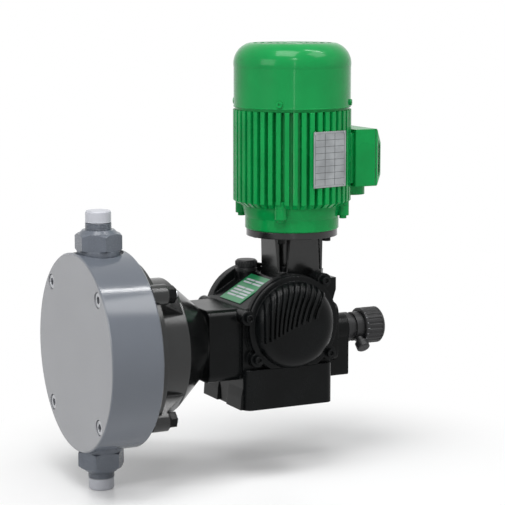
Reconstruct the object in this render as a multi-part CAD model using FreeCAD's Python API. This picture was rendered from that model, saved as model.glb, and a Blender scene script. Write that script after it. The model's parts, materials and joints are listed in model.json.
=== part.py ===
import FreeCAD, Part
import math
import os

from FreeCAD import Vector

# Diaphragm metering pump with a vertical motor, a worm gearbox and a stroke adjuster.
# Lengths are in millimetres. X runs from the pump head to the stroke knob, Z is up.
# The origin lies on the foot face, straight below the eccentric shaft.

# Fits and gaps
running_gap = 0.03
seat_gap = 0.1
body_gap = 0.3
screw_gap = 0.5

# Pump axis and head
axis_height = 75.0
head_front = 240.0
head_radius = 112.5
head_thickness = 61.0
head_chamfer = 1.5
spot_depth = 4.0
spot_radius = 28.0
chamber_radius = 68.0
chamber_depth = 8.5
channel_radius = 6.0
cross_channel_radius = 5.0
channel_offset = 50.0

# Head bolts
bolt_edge = 12.5
bolt_radius = 5.0
bolt_head_radius = 8.0
bolt_head_height = 10.0
bolt_recess_radius = 9.0
bolt_recess_depth = 11.0
nut_flats = 17.0
nut_height = 8.4
washer_radius = 10.0
washer_thickness = 2.0
thread_overhang = 2.5

# Valves and ports
pocket_radius = 17.0
pocket_depth = 40.0
seat_height = 7.0
seat_bore_radius = 6.5
seat_lip_height = 5.0
cage_height = 19.0
cage_wall = 4.4
ball_radius = 8.0
ball_lift = 4.0
port_bore_radius = 8.0
port_ring_radius = 24.5
port_ring_height = 6.0
port_hex_flats = 47.0
discharge_hex_turn = -4.0
suction_hex_turn = -26.0
port_hex_height = 19.5
port_collar_radius = 22.0
port_collar_top_radius = 18.0
port_collar_height = 4.0
port_neck_radius = 14.6
port_neck_length = 17.5
cap_step = 0.1
cap_wall = 2.2
cap_length = 13.5
cap_end = 2.5
cap_overlap = 10.0
port_seal_radius = 20.5
port_seal_thickness = 2.6

# Diaphragm and push rod
diaphragm_edge = 15.0
diaphragm_thickness = 4.0
diaphragm_centre_radius = 42.0
convolution_height = 5.0
insert_radius = 30.0
insert_thickness = 2.0
insert_stud_radius = 5.0
insert_stud_length = 22.0
backing_radius = 38.0
backing_thickness = 6.0
rod_radius = 9.0
stroke = 6.0

# Front bracket
flange_edge = 12.0
flange_thickness = 10.0
drum_radius = 77.0
drum_end = 108.0
bracket_wall = 6.0
neck_radius = 45.0
neck_front = 145.0
bracket_rear = 146.0
end_wall = 8.0
spigot_radius = 21.0
spigot_length = 4.0
lug_radius = 12.0
lug_length = 19.0
leg_width = 24.0
leg_step = 1.0
bracket_screw_circle = 32.0
bracket_screw_radius = 4.0

# Rod bush, seal and return spring
bush_radius = 13.0
bush_front = 106.0
bush_flange_radius = 19.5
bush_flange_thickness = 2.0
spring_radius = 15.0
spring_wire_radius = 1.6
spring_turns = 5.0

# Worm gear
gear_module = 1.8
wheel_teeth = 30
wheel_width = 16.0
worm_pitch_radius = 8.0
worm_length = 34.0
tooth_side_gap = 0.3
tooth_root_gap = 0.4
pressure_angle = 20.0

# Eccentric shaft and crosshead
throw = 3.0
shaft_radius = 10.0
journal_radius = 8.5
eccentric_radius = 15.5
ring_wall = 4.0
eccentric_width = 7.2
cheek_gap = 11.0
cheek_thickness = 8.0
cheek_half_height = 28.0
window_side = 6.7
bridge_front = 44.0
bridge_thickness = 11.0
rear_bridge_start = 52.0
rear_bridge_thickness = 8.0
tail_radius = 7.0
tail_length = 18.0
key_size = 5.0

# Bearings as outer radius and width
wheel_bearing_radius = 17.5
wheel_bearing_width = 10.0
wheel_bearing_inner_face = 33.0
lower_bearing_radius = 16.0
lower_bearing_width = 10.0
upper_bearing_radius = 20.0
upper_bearing_width = 12.0
motor_bearing_radius = 17.5
motor_bearing_width = 11.0

# Gearbox housing
base_front = 54.0
base_rear = 60.0
base_half_width = 58.0
base_height = 47.0
base_corner = 9.0
body_step = 4.0
body_top = 146.0
shelf_height = 117.0
slope_start = 50.0
body_rear = 67.0
barrel_x = 6.7
barrel_z = 96.0
barrel_radius = 58.0
barrel_half_width = 54.0
cavity_radius = 43.5
well_gap = 2.0
cavity_floor = 51.5
nose_half_width = 45.0
nose_half_height = 42.0
nose_corner = 11.0
rear_boss_end = 84.0
rear_collar_end = 104.0
rear_boss_half_width = 27.0
rear_collar_radius = 18.0
web_half_width = 20.0
web_bottom = 20.0
foot_bolt_x = 42.0
foot_bolt_y = 44.0
foot_hole_radius = 4.25
foot_hole_depth = 18.0

# Side covers
cover_flange_thickness = 6.0
cover_bottom = 47.5
cover_radius = 57.0
ear_radius = 8.5
ear_circle_radius = 59.5
ear_angles = (-38, 168, 218)
high_ear_circle_radius = 63.0
high_ear_angle = 51.0
ear_length = 16.0
dome_radius = 51.0
dome_height = 16.0
cover_wall = 4.0
bearing_boss_radius = 21.0
cover_screw_radius = 3.0
fin_count = 11
fin_thickness = 2.6
fin_height = 4.0
fin_first_x = -33.0
fin_pitch = 7.4
fin_fan_x = -40.0
fin_fan_z = -20.0
fin_bow = 2.2

# Motor support lantern
lantern_top_half = 31.5
lantern_bottom_half = 28.8
lantern_corner = 7.0
lantern_flange_radius = 53.5
lantern_flange_thickness = 8.0
lantern_bore = 20.5
motor_face = 200.7
lantern_spigot_radius = 19.9
lantern_spigot_length = 2.0
lantern_screw_offset = 20.5
motor_screw_circle = 42.5
motor_screw_radius = 3.0
scallop_radius = 12.0

# Coupling
hub_radius = 18.0
upper_hub_top = 192.0
upper_hub_bottom = 176.0
spider_thickness = 5.0
lower_hub_bottom = 155.0

# Motor
motor_spigot_radius = 35.0
motor_spigot_height = 2.5
shield_flange_radius = 55.0
shield_flange_height = 20.0
shield_top_radius = 58.0
lug_circle_radius = 61.0
frame_bottom = 229.0
frame_top = 340.0
frame_radius = 60.5
fin_tip_radius = 69.0
fin_end_slant = 6.0
frame_bore_radius = 52.0
frame_fins = 44
frame_fin_width = 5.6
clocking = 50.0
fan_cover_seam = 342.7
fan_cover_straight_top = 388.6
fan_cover_top = 416.7
fan_cover_radius = 68.3
fan_cover_wall = 1.6
grille_radius = 50.6
grille_rings = 5
grille_sectors = 6
motor_shaft_radius = 7.0
motor_journal_radius = 7.5
rotor_radius = 32.5
rotor_air_gap = 0.5
core_bottom = 248.0
core_top = 322.0
winding_height = 12.0
fan_blade_radius = 56.0
fan_hub_radius = 14.0
fan_bottom = 358.0
fan_top = 380.0
fan_blades = 8
box_outer = 104.0
box_inner = 64.0
box_half_width = 38.0
box_bottom = 249.0
box_top = 316.0
box_lid_seam = 91.0
box_wall = 3.0
box_chamfer_out = 11.5
box_chamfer_top = 17.5
box_chamfer_bottom = 12.0
gland_x = 80.0
gland_radius = 10.0
gland_boss_radius = 16.0
gland_boss_length = 12.5
nameplate_angle = -79.0
nameplate_width = 47.5
nameplate_height = 64.0
nameplate_middle = 286.0
plate_thickness = 1.0

# Label plate and oil plug on the gearbox
label_length = 48.0
label_width = 52.0
oil_plug_x = -5.0
oil_plug_inset = 14.0
oil_plug_radius = 12.6
oil_plug_rim = 0.5
oil_plug_bottom = 147.0
oil_plug_height = 13.0
oil_thread_radius = 9.0

# Stroke adjuster
sleeve_flange_length = 6.0
sleeve_groove_radius = 15.0
sleeve_groove_length = 6.0
sleeve_radius = 17.5
sleeve_end = 128.0
spindle_radius = 6.0
spindle_end = 141.0
spindle_tip_radius = 6.5
knob_radius = 21.8
knob_front = 126.0
knob_end = 152.4
knob_skirt_bore = 18.0
knob_hub_radius = 11.0
hub_recess = 3.0
knob_wall = 3.4
lock_x = 121.0
lock_turn = -45.0
lock_radius = 3.0
lock_head_radius = 8.0
lock_head_length = 15.0

# Places that follow from the sizes above
head_x = -head_front
head_back = head_x + head_thickness
valve_x = head_x + head_thickness / 2
spot_height = head_radius - spot_depth
bolt_circle_radius = head_radius - bolt_edge
diaphragm_radius = bolt_circle_radius - diaphragm_edge
flange_radius = head_radius - flange_edge
leg_top_radius = flange_radius - leg_step
wheel_tip_radius = gear_module * wheel_teeth / 2 + 0.8 * gear_module
body_half_width = barrel_half_width - body_step
oil_plug_y = barrel_half_width - oil_plug_inset
cap_seat = spot_height + port_ring_height + port_hex_height + port_collar_height
cap_radius = port_neck_radius - cap_step
port_tip_radius = cap_radius - cap_wall
port_land_length = port_neck_length - cap_overlap
wheel_pitch_radius = gear_module * wheel_teeth / 2
worm_x = wheel_pitch_radius + worm_pitch_radius
axial_pitch = math.pi * gear_module
drum_end_x = head_x + drum_end
neck_front_x = head_x + neck_front
bracket_rear_x = head_x + bracket_rear
ring_radius = eccentric_radius + running_gap + ring_wall
window_front_x = -ring_radius - throw - body_gap
window_rear_x = ring_radius + throw + window_side
tail_end_x = rear_bridge_start + rear_bridge_thickness + tail_length
shelf_x = -slope_start

axes = {"x": Vector(1, 0, 0), "y": Vector(0, 1, 0), "z": Vector(0, 0, 1)}
on_pump_axis = Vector(0, 0, axis_height)
on_motor_axis = Vector(worm_x, 0, 0)


def outline_edges(outline):
    # An item is a point, or a pair of points: a point on an arc and the arc's end.
    edges = []
    here = outline[0]
    for item in list(outline[1:]) + [outline[0]]:
        if isinstance(item[0], Vector):
            middle, end = item
            edges.append(Part.Arc(here, middle, end).toShape())
        else:
            end = item
            edges.append(Part.LineSegment(here, end).toShape())
        here = end
    return edges


def face_of(outline):
    return Part.Face(Part.Wire(outline_edges(outline)))


def lifted(point):
    # A point of a turned outline is its place along the axis and its radius.
    along, radius = point
    return Vector(radius, 0, along)


def turned(axis, centre, outline):
    # Revolves an outline about an axis; a nested pair of points is an arc.
    points = []
    for item in outline:
        if isinstance(item[0], tuple):
            points.append((lifted(item[0]), lifted(item[1])))
        else:
            points.append(lifted(item))
    here = points[0]
    edges = []
    for item in points[1:] + [points[0]]:
        if isinstance(item, tuple):
            middle, end = item
            edges.append(Part.Arc(here, middle, end).toShape())
        else:
            end = item
            edges.append(Part.LineSegment(here, end).toShape())
        here = end
    solid = Part.Face(Part.Wire(edges)).revolve(Vector(0, 0, 0), Vector(0, 0, 1), 360)
    solid.Placement = FreeCAD.Placement(centre, FreeCAD.Rotation(Vector(0, 0, 1), axes[axis]))
    return solid


def tube(axis, centre, start, end, outer, inner=0):
    return turned(axis, centre, [(start, inner), (start, outer), (end, outer), (end, inner)])


def rod(axis, centre, start, end, radius):
    base = centre + axes[axis] * start
    return Part.makeCylinder(radius, end - start, base, axes[axis])


def block(x0, x1, y0, y1, z0, z1):
    return Part.makeBox(x1 - x0, y1 - y0, z1 - z0, Vector(x0, y0, z0))


def prism(plane, points, low, high):
    # Extrudes a closed polygon given in the xz, xy or yz plane.
    place = {
        "xz": lambda a, b: Vector(a, low, b),
        "xy": lambda a, b: Vector(a, b, low),
        "yz": lambda a, b: Vector(low, a, b),
    }[plane]
    direction = {"xz": axes["y"], "xy": axes["z"], "yz": axes["x"]}[plane]
    corners = [place(a, b) for a, b in points]
    return Part.Face(Part.makePolygon(corners + corners[:1])).extrude(direction * (high - low))


def rounded_bar(plane, a0, a1, b0, b1, radius, low, high):
    # A bar with a rounded rectangular section, extruded from low to high.
    middle = (math.sqrt(2) - 1) / math.sqrt(2) * radius
    walk = [
        ((a0 + radius, b0), None),
        ((a1 - radius, b0), None),
        ((a1, b0 + radius), (a1 - middle, b0 + middle)),
        ((a1, b1 - radius), None),
        ((a1 - radius, b1), (a1 - middle, b1 - middle)),
        ((a0 + radius, b1), None),
        ((a0, b1 - radius), (a0 + middle, b1 - middle)),
        ((a0, b0 + radius), None),
    ]
    place = {
        "xz": lambda a, b: Vector(a, low, b),
        "xy": lambda a, b: Vector(a, b, low),
        "yz": lambda a, b: Vector(low, a, b),
    }[plane]
    direction = {"xz": axes["y"], "xy": axes["z"], "yz": axes["x"]}[plane]
    edges = []
    here = place(*walk[0][0])
    for end, through in walk[1:]:
        if through:
            edges.append(Part.Arc(here, place(*through), place(*end)).toShape())
        else:
            edges.append(Part.LineSegment(here, place(*end)).toShape())
        here = place(*end)
    closing = place(a0 + middle, b0 + middle)
    edges.append(Part.Arc(here, closing, place(*walk[0][0])).toShape())
    return Part.Face(Part.Wire(edges)).extrude(direction * (high - low))


def hex_bar(axis, centre, start, end, flats, turn=0):
    corner = flats / math.sqrt(3)
    points = []
    for k in range(6):
        angle = math.radians(turn + 30 + 60 * k)
        points.append(Vector(corner * math.cos(angle), corner * math.sin(angle), start))
    bar = Part.Face(Part.makePolygon(points + points[:1])).extrude(Vector(0, 0, end - start))
    bar.Placement = FreeCAD.Placement(centre, FreeCAD.Rotation(Vector(0, 0, 1), axes[axis]))
    return bar


def socket_screw(seat, direction, radius, length, head_radius=None, head_height=None):
    # The head stands out of the seat along the direction; the shank goes the other way.
    head_radius = head_radius or radius * 1.6
    head_height = head_height or radius * 2
    socket = head_height * 0.5
    head = Part.makeCylinder(head_radius, head_height)
    shank = Part.makeCylinder(radius, length, Vector(0, 0, -length))
    recess = hex_bar("z", Vector(0, 0, 0), head_height - socket, head_height + 1, radius * 1.6)
    screw = head.cut(recess).fuse(shank).removeSplitter()
    screw.Placement = FreeCAD.Placement(seat, FreeCAD.Rotation(Vector(0, 0, 1), direction))
    return screw


def union(*shapes):
    return shapes[0].fuse(list(shapes[1:])).removeSplitter()


def around(shape, axis, centre, angles):
    copies = []
    for angle in angles:
        copy = shape.copy()
        copy.rotate(centre, axes[axis], angle)
        copies.append(copy)
    return copies


def quarters(start=45):
    return [start + 90 * k for k in range(4)]


def mirrored_y(shape):
    return shape.mirror(Vector(0, 0, 0), Vector(0, 1, 0))


def upside_down(shape):
    # Turns a piece of the upper valve into its place below the pump axis.
    copy = shape.copy()
    copy.rotate(on_pump_axis, axes["x"], 180)
    return copy


def bearing(axis, centre, start, end, outer, inner):
    # A shielded ball bearing: two rings with a step down to the shield between them.
    step = (outer - inner) * 0.28
    dip = 0.5
    return turned(axis, centre, [
        (start, inner),
        (start, inner + step),
        (start + dip, inner + step),
        (start + dip, outer - step),
        (start, outer - step),
        (start, outer),
        (end, outer),
        (end, outer - step),
        (end - dip, outer - step),
        (end - dip, inner + step),
        (end, inner + step),
        (end, inner),
    ])


def save(name, *solids):
    os.makedirs("parts", exist_ok=True)
    shape = solids[0] if len(solids) == 1 else Part.makeCompound(list(solids))
    if not shape.isValid():
        print("not valid:", name)
    shape.exportStep("parts/" + name + ".step")


# Pump head
def bolt_place(x):
    return Vector(x, 0, axis_height) + Vector(0, bolt_circle_radius, 0)


def around_head(shape):
    return around(shape, "x", on_pump_axis, quarters())


def pump_head():
    seat_x = head_back - diaphragm_thickness
    floor_x = seat_x - chamber_depth
    seat_radius = diaphragm_radius + body_gap
    body = turned("x", on_pump_axis, [
        (head_x, 0),
        (head_x, head_radius - head_chamfer),
        (head_x + head_chamfer, head_radius),
        (head_back - head_chamfer, head_radius),
        (head_back, head_radius - head_chamfer),
        (head_back, seat_radius),
        (seat_x, seat_radius),
        (seat_x, chamber_radius),
        (floor_x, chamber_radius - chamber_depth),
        (floor_x, 0),
    ])
    valve_axis = Vector(valve_x, 0, axis_height)
    pocket_bottom = spot_height - pocket_depth
    above = [
        rod("z", valve_axis, spot_height, head_radius * 1.2, spot_radius),
        rod("z", valve_axis, pocket_bottom, spot_height + 1, pocket_radius),
        rod("z", valve_axis, channel_offset - channel_radius - 1, pocket_bottom + 1, channel_radius),
        rod("x", on_pump_axis + Vector(0, 0, channel_offset), valve_x, floor_x + 1, cross_channel_radius),
    ]
    hole = rod("x", bolt_place(0), head_x - 1, head_back + 1, bolt_radius + screw_gap)
    recess = rod("x", bolt_place(0), head_x - 1, head_x + bolt_recess_depth, bolt_recess_radius)
    cutters = above + [upside_down(cutter) for cutter in above]
    cutters += around_head(hole) + around_head(recess)
    return body.cut(cutters)


def head_bolts():
    seat = bolt_place(head_x + bolt_recess_depth)
    end_x = head_back + lug_length + washer_thickness + nut_height + thread_overhang
    length = end_x - seat.x
    screw = socket_screw(seat, Vector(-1, 0, 0), bolt_radius, length, bolt_head_radius, bolt_head_height)
    return around_head(screw)


def head_nuts():
    start = head_back + lug_length + washer_thickness
    nut = hex_bar("x", bolt_place(0), start, start + nut_height, nut_flats)
    bore = rod("x", bolt_place(0), start - 1, start + nut_height + 1, bolt_radius + seat_gap)
    return around_head(nut.cut(bore))


def head_washers():
    start = head_back + lug_length
    washer = tube("x", bolt_place(0), start, start + washer_thickness, washer_radius, bolt_radius + seat_gap)
    return around_head(washer)


# Valves
def valve_body(hex_turn):
    neck_start = cap_seat
    ring_top = spot_height + port_ring_height
    hex_top = ring_top + port_hex_height
    shank_start = spot_height - pocket_depth + seat_height + cage_height
    centre = Vector(valve_x, 0, axis_height)
    ring = rod("z", centre, spot_height, ring_top, port_ring_radius)
    shank = rod("z", centre, shank_start, spot_height, pocket_radius - seat_gap)
    nut = hex_bar("z", centre, ring_top, hex_top, port_hex_flats, hex_turn)
    corner = port_hex_flats / math.sqrt(3)
    blunt = (corner - port_hex_flats / 2) * 0.8
    bevel = turned("z", centre, [
        (ring_top, 0),
        (ring_top, corner - blunt),
        (ring_top + blunt * 0.5, corner),
        (hex_top - blunt, corner),
        (hex_top, corner - blunt * 1.2),
        (hex_top, 0),
    ])
    collar = Part.makeCone(port_collar_radius, port_collar_top_radius, port_collar_height,
                           centre + Vector(0, 0, hex_top), axes["z"])
    land = rod("z", centre, neck_start, neck_start + port_land_length, port_neck_radius)
    tip = rod("z", centre, neck_start, neck_start + port_neck_length, port_tip_radius)
    bore = rod("z", centre, shank_start - 1, neck_start + port_neck_length + 1, port_bore_radius)
    half = port_seal_thickness / 2 + seat_gap
    groove = tube("z", centre, spot_height - 1, spot_height + port_seal_thickness + seat_gap,
                  port_seal_radius + half, port_seal_radius - half)
    return union(ring, shank, nut.common(bevel), collar, land, tip).cut([bore, groove])


def port_seal():
    small = port_seal_thickness / 2
    centre = Vector(valve_x, 0, axis_height + spot_height + small + running_gap)
    return Part.makeTorus(port_seal_radius, small, centre, axes["z"])


def port_cap():
    start = cap_seat + port_land_length + body_gap
    end = start + cap_length
    inner = port_tip_radius + 2 * seat_gap
    return turned("z", Vector(valve_x, 0, axis_height), [
        (start, inner),
        (start, cap_radius - 0.6),
        (start + 0.8, cap_radius),
        (end - 1.5, cap_radius),
        (end, cap_radius - 1.5),
        (end, 0),
        (end - cap_end, 0),
        (end - cap_end, inner),
    ])


def cartridge_bottom(upper):
    # Both valves open upwards, so the lower one has its seat at the outer end.
    if upper:
        return axis_height + spot_height - pocket_depth
    return axis_height - spot_height + pocket_depth - seat_height - cage_height


def valve_seat(upper):
    centre = Vector(valve_x, 0, cartridge_bottom(upper))
    return turned("z", centre, [
        (0, seat_bore_radius),
        (0, pocket_radius - seat_gap),
        (seat_height, pocket_radius - seat_gap),
        (seat_height, seat_bore_radius + 1.7),
        (seat_lip_height, seat_bore_radius),
    ])


def ball_height():
    reach = ball_radius + body_gap
    return seat_lip_height + math.sqrt(reach**2 - seat_bore_radius**2)


def valve_ball(upper):
    centre = Vector(valve_x, 0, cartridge_bottom(upper) + ball_height())
    return Part.makeSphere(ball_radius, centre)


def ball_cage(upper):
    low = seat_height
    high = seat_height + cage_height
    roof = ball_height() + ball_radius + ball_lift + body_gap
    centre = Vector(valve_x, 0, cartridge_bottom(upper))
    outer = pocket_radius - seat_gap
    inner = outer - cage_wall
    shell = tube("z", centre, low, high, outer, inner)
    top = rod("z", centre, roof, high, inner + 0.5)
    rib = block(ball_radius + body_gap, inner + 0.5, -1.5, 1.5, low, roof + 0.5)
    rib.translate(centre)
    drill = rod("z", centre + Vector(ball_radius, 0, 0), roof - 1, high + 1, 2.4)
    holes = around(drill, "z", centre, [30 + 60 * k for k in range(6)])
    ribs = around(rib, "z", centre, quarters())
    return union(shell, top, *ribs).cut(holes)


# Diaphragm and its rod
def diaphragm():
    back = head_back
    front = head_back - diaphragm_thickness
    rim = chamber_radius - 2
    inner = diaphragm_centre_radius
    middle = (rim + inner) / 2
    centre_back = back + 2
    body = turned("x", on_pump_axis, [
        (front, 0),
        (front, inner),
        ((front + convolution_height, middle), (front, rim)),
        (front, diaphragm_radius),
        (back, diaphragm_radius),
        (back, rim),
        ((back + convolution_height, middle), (back, inner)),
        (centre_back, inner),
        (centre_back, 0),
    ])
    pocket_front = centre_back - 1.5 - insert_thickness
    pocket = rod("x", on_pump_axis, pocket_front, pocket_front + insert_thickness, insert_radius)
    throat = rod("x", on_pump_axis, pocket_front, centre_back + 1, insert_stud_radius + seat_gap)
    return body.cut([pocket, throat])


def diaphragm_insert():
    start = head_back + 2 - 1.5 - insert_thickness
    plate = rod("x", on_pump_axis, start, start + insert_thickness, insert_radius)
    stud_end = start + insert_thickness + insert_stud_length
    stud = rod("x", on_pump_axis, start + insert_thickness, stud_end, insert_stud_radius)
    return union(plate, stud)


def backing_plate():
    start = head_back + 2
    end = start + backing_thickness
    return turned("x", on_pump_axis, [
        (start, insert_stud_radius + seat_gap),
        (start, backing_radius),
        (start + backing_thickness * 0.5, backing_radius),
        (end, backing_radius * 0.6),
        (end, insert_stud_radius + seat_gap),
    ])


def push_rod():
    start = head_back + 2 + backing_thickness
    end = -bridge_front
    stud = end + bridge_thickness - 3
    body = rod("x", on_pump_axis, start, end, rod_radius)
    nose = rod("x", on_pump_axis, end, stud, rod_radius * 0.66)
    bore = rod("x", on_pump_axis, start - 1, start + insert_stud_length, insert_stud_radius + seat_gap)
    return union(body, nose).cut(bore)


def rod_bush():
    end = bracket_rear_x + spigot_length
    bore = rod_radius + running_gap
    return turned("x", on_pump_axis, [
        (head_x + bush_front + 28, bore),
        (head_x + bush_front + 28, bush_radius),
        (end, bush_radius),
        (end, bush_flange_radius),
        (end + bush_flange_thickness, bush_flange_radius),
        (end + bush_flange_thickness, bore),
    ])


def rod_seal():
    end = head_x + bush_front + 28
    return turned("x", on_pump_axis, [
        (end - 6, rod_radius + running_gap),
        (end - 6, rod_radius + 2),
        (end - 4, bush_radius),
        (end, bush_radius),
        (end, rod_radius + running_gap),
    ])


def return_spring():
    start = bracket_rear_x + spigot_length + bush_flange_thickness + spring_wire_radius + seat_gap
    end = -bridge_front - spring_wire_radius - seat_gap
    pitch = (end - start) / spring_turns
    helix = Part.makeHelix(pitch, end - start, spring_radius)
    section = Part.Circle(Vector(spring_radius, 0, 0), Vector(0, 1, 0), spring_wire_radius)
    wire = Part.Wire([section.toShape()])
    coil = Part.Wire(helix.Edges).makePipeShell([wire], True, True)
    coil.Placement = FreeCAD.Placement(on_pump_axis + Vector(start, 0, 0),
                                       FreeCAD.Rotation(Vector(0, 0, 1), axes["x"]))
    return coil


# Front bracket
def front_bracket():
    start = head_back
    flange_end = start + flange_thickness
    wall_front = bracket_rear_x - end_wall
    outer = [
        (start, chamber_radius - 1),
        (start, flange_radius),
        (flange_end, flange_radius),
        (flange_end, drum_radius),
        (drum_end_x, drum_radius),
        (neck_front_x, neck_radius),
        (bracket_rear_x, neck_radius),
        (bracket_rear_x, spigot_radius - seat_gap),
        (bracket_rear_x + spigot_length, spigot_radius - seat_gap),
        (bracket_rear_x + spigot_length, bush_radius),
        (wall_front, bush_radius),
        (wall_front, neck_radius - bracket_wall),
        (drum_end_x, drum_radius - bracket_wall),
        (flange_end, drum_radius - bracket_wall),
    ]
    body = turned("x", on_pump_axis, outer)
    lug = rod("x", bolt_place(0), start, start + lug_length, lug_radius)
    leg_outline = [
        (flange_end - 1, drum_radius - bracket_wall / 2),
        (flange_end - 1, leg_top_radius),
        (flange_end + 4, leg_top_radius),
        (drum_end_x - 3, drum_radius + 1),
        (drum_end_x - 3, drum_radius - bracket_wall / 2),
    ]
    raised = [(x, axis_height + height) for x, height in leg_outline]
    leg = prism("xz", raised, -leg_width / 2, leg_width / 2)
    legs = around(leg, "x", on_pump_axis, quarters())
    spot_end = drum_end_x + 20
    spot = rod("x", bolt_place(0), start + lug_length, spot_end, washer_radius + 1.2)
    hole = rod("x", bolt_place(0), start - 1, start + lug_length + 1, bolt_radius + screw_gap)
    screw_place = on_pump_axis + Vector(0, bracket_screw_circle, 0)
    screw_hole = rod("x", screw_place, wall_front - 1, bracket_rear_x + 1, bracket_screw_radius + screw_gap)
    body = union(body, *around_head(lug), *legs)
    cutters = around_head(spot) + around_head(hole) + around(screw_hole, "x", on_pump_axis, quarters())
    return body.cut(cutters)


def bracket_screws():
    seat = Vector(bracket_rear_x - end_wall, bracket_screw_circle, axis_height)
    screw = socket_screw(seat, Vector(-1, 0, 0), bracket_screw_radius, end_wall + 16)
    return around(screw, "x", on_pump_axis, quarters())


# Gearbox housing
def at_barrel(y=0):
    return Vector(barrel_x, y, barrel_z)


def ear_places():
    places = []
    spots = [(angle, ear_circle_radius) for angle in ear_angles]
    for angle, radius in spots + [(high_ear_angle, high_ear_circle_radius)]:
        turn = math.radians(angle)
        places.append(Vector(barrel_x + radius * math.cos(turn), 0, barrel_z + radius * math.sin(turn)))
    return places


def slope_points():
    return (shelf_x, shelf_height), (-1.0, body_top)


def oil_hole(radius, low):
    return rod("z", Vector(oil_plug_x, oil_plug_y, 0), low, oil_plug_bottom + 1, radius)


def housing_outside():
    low_slope, high_slope = slope_points()
    body = prism("xz", [
        (-base_front, 0),
        (-base_front, shelf_height),
        low_slope,
        high_slope,
        (body_rear, body_top),
        (body_rear, body_top - 14),
        (base_rear, body_top - 36),
        (base_rear, 0),
    ], -body_half_width, body_half_width)
    base = rounded_bar("xy", -base_front, base_rear, -base_half_width, base_half_width,
                       base_corner, 0, base_height)
    barrel = rod("y", at_barrel(), -barrel_half_width, barrel_half_width, barrel_radius)
    wide = 3 * barrel_radius
    keep = block(-wide, wide, -barrel_half_width, barrel_half_width, cover_bottom - 1, wide)
    inner_end = barrel_half_width - ear_length
    ears = [rod("y", place, inner_end, barrel_half_width, ear_radius).common(keep) for place in ear_places()]
    ears += [mirrored_y(ear) for ear in ears]
    nose = rounded_bar("yz", -nose_half_width, nose_half_width, axis_height - nose_half_height,
                       axis_height + nose_half_height, nose_corner, bracket_rear_x, -base_front + 1)
    boss = rounded_bar("yz", -rear_boss_half_width, rear_boss_half_width, 40, 110, 12,
                       base_rear - 1, rear_boss_end)
    collar = rod("x", on_pump_axis, rear_boss_end - 1, rear_collar_end, rear_collar_radius)
    web = rounded_bar("yz", -web_half_width * 0.8, web_half_width * 0.8, web_bottom,
                      axis_height, 3, base_rear - 1, rear_collar_end)
    plug_boss = rod("z", Vector(oil_plug_x, oil_plug_y, 0), body_top - 40, oil_plug_bottom, oil_plug_radius + oil_plug_rim)
    gusset = prism("xz", [
        (-base_front + 1, 0),
        (-base_front - 3, 0),
        (-base_front - 2, 14),
        (-base_front + 1, 30),
    ], 12, 50)
    above_slope = prism("xz", [
        low_slope,
        (low_slope[0] - 20, low_slope[1]),
        (low_slope[0] - 20, body_top + 20),
        (body_rear + 20, body_top + 20),
        (body_rear + 20, body_top),
        high_slope,
    ], -body_half_width + 4, body_half_width - 4)
    plug_space = rod("z", Vector(oil_plug_x, oil_plug_y, 0), oil_plug_bottom, body_top + 20,
                     oil_plug_radius + oil_plug_rim + body_gap)
    barrel = barrel.cut([above_slope, plug_space])
    return union(body, base, barrel, *ears, nose, boss, collar, web, plug_boss, gusset, mirrored_y(gusset))


def housing_cavity():
    bore = rod("y", at_barrel(), -barrel_half_width - 1, barrel_half_width + 1, cavity_radius)
    wide = 3 * barrel_radius
    above_floor = block(-wide, wide, -wide, wide, cavity_floor, 2 * wide)
    side_space = bore.common(above_floor)
    cheek_reach = cheek_gap + cheek_thickness + 3
    well = rod("y", on_pump_axis, -cheek_reach, cheek_reach, wheel_tip_radius + well_gap)
    rear_reach = rear_bridge_start + rear_bridge_thickness + 2
    half = cheek_half_height + 2
    channel = block(-bridge_front - stroke - 1, rear_reach, -cheek_reach, cheek_reach,
                    axis_height - half, axis_height + half)
    nose_bore = rod("x", on_pump_axis, bracket_rear_x - 1, -bridge_front, spigot_radius)
    tail_bore = rod("x", on_pump_axis, rear_reach - 1, rear_collar_end + 1, tail_radius + running_gap)
    lower_top = axis_height - cheek_half_height - 3
    lower = rod("z", on_motor_axis, lower_top - lower_bearing_width, lower_top + 4, lower_bearing_radius)
    worm_hole = rod("z", on_motor_axis, barrel_z, body_top + 1, worm_pitch_radius + gear_module + 3)
    upper = rod("z", on_motor_axis, body_top - lantern_spigot_length - upper_bearing_width,
                body_top + 1, upper_bearing_radius)
    return [side_space, well, channel, nose_bore, tail_bore, lower, worm_hole, upper]


def gearbox_housing():
    foot_hole = rod("z", Vector(foot_bolt_x, foot_bolt_y, 0), -1, foot_hole_depth, foot_hole_radius)
    feet = []
    for x_side in (-1, 1):
        for y_side in (-1, 1):
            hole = foot_hole.copy()
            hole.translate(Vector((x_side - 1) * foot_bolt_x, (y_side - 1) * foot_bolt_y, 0))
            feet.append(hole)
    cover_screws = []
    for place in ear_places():
        for side in (-1, 1):
            start = side * barrel_half_width
            low, high = sorted((start - side * 14, start + side))
            cover_screws.append(rod("y", place, low, high, cover_screw_radius))
    screw_place = on_pump_axis + Vector(0, bracket_screw_circle, 0)
    nose_hole = rod("x", screw_place, bracket_rear_x - 1, bracket_rear_x + 17, bracket_screw_radius)
    nose_holes = around(nose_hole, "x", on_pump_axis, quarters())
    lantern_place = Vector(worm_x + lantern_screw_offset * math.sqrt(2), 0, 0)
    lantern_hole = rod("z", lantern_place, body_top - 14, body_top + 1, motor_screw_radius)
    lantern_holes = around(lantern_hole, "z", on_motor_axis, quarters())
    oil = oil_hole(oil_thread_radius, body_top - 34)
    cutters = housing_cavity() + feet + cover_screws + nose_holes + lantern_holes + [oil]
    return housing_outside().cut(cutters)


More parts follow.
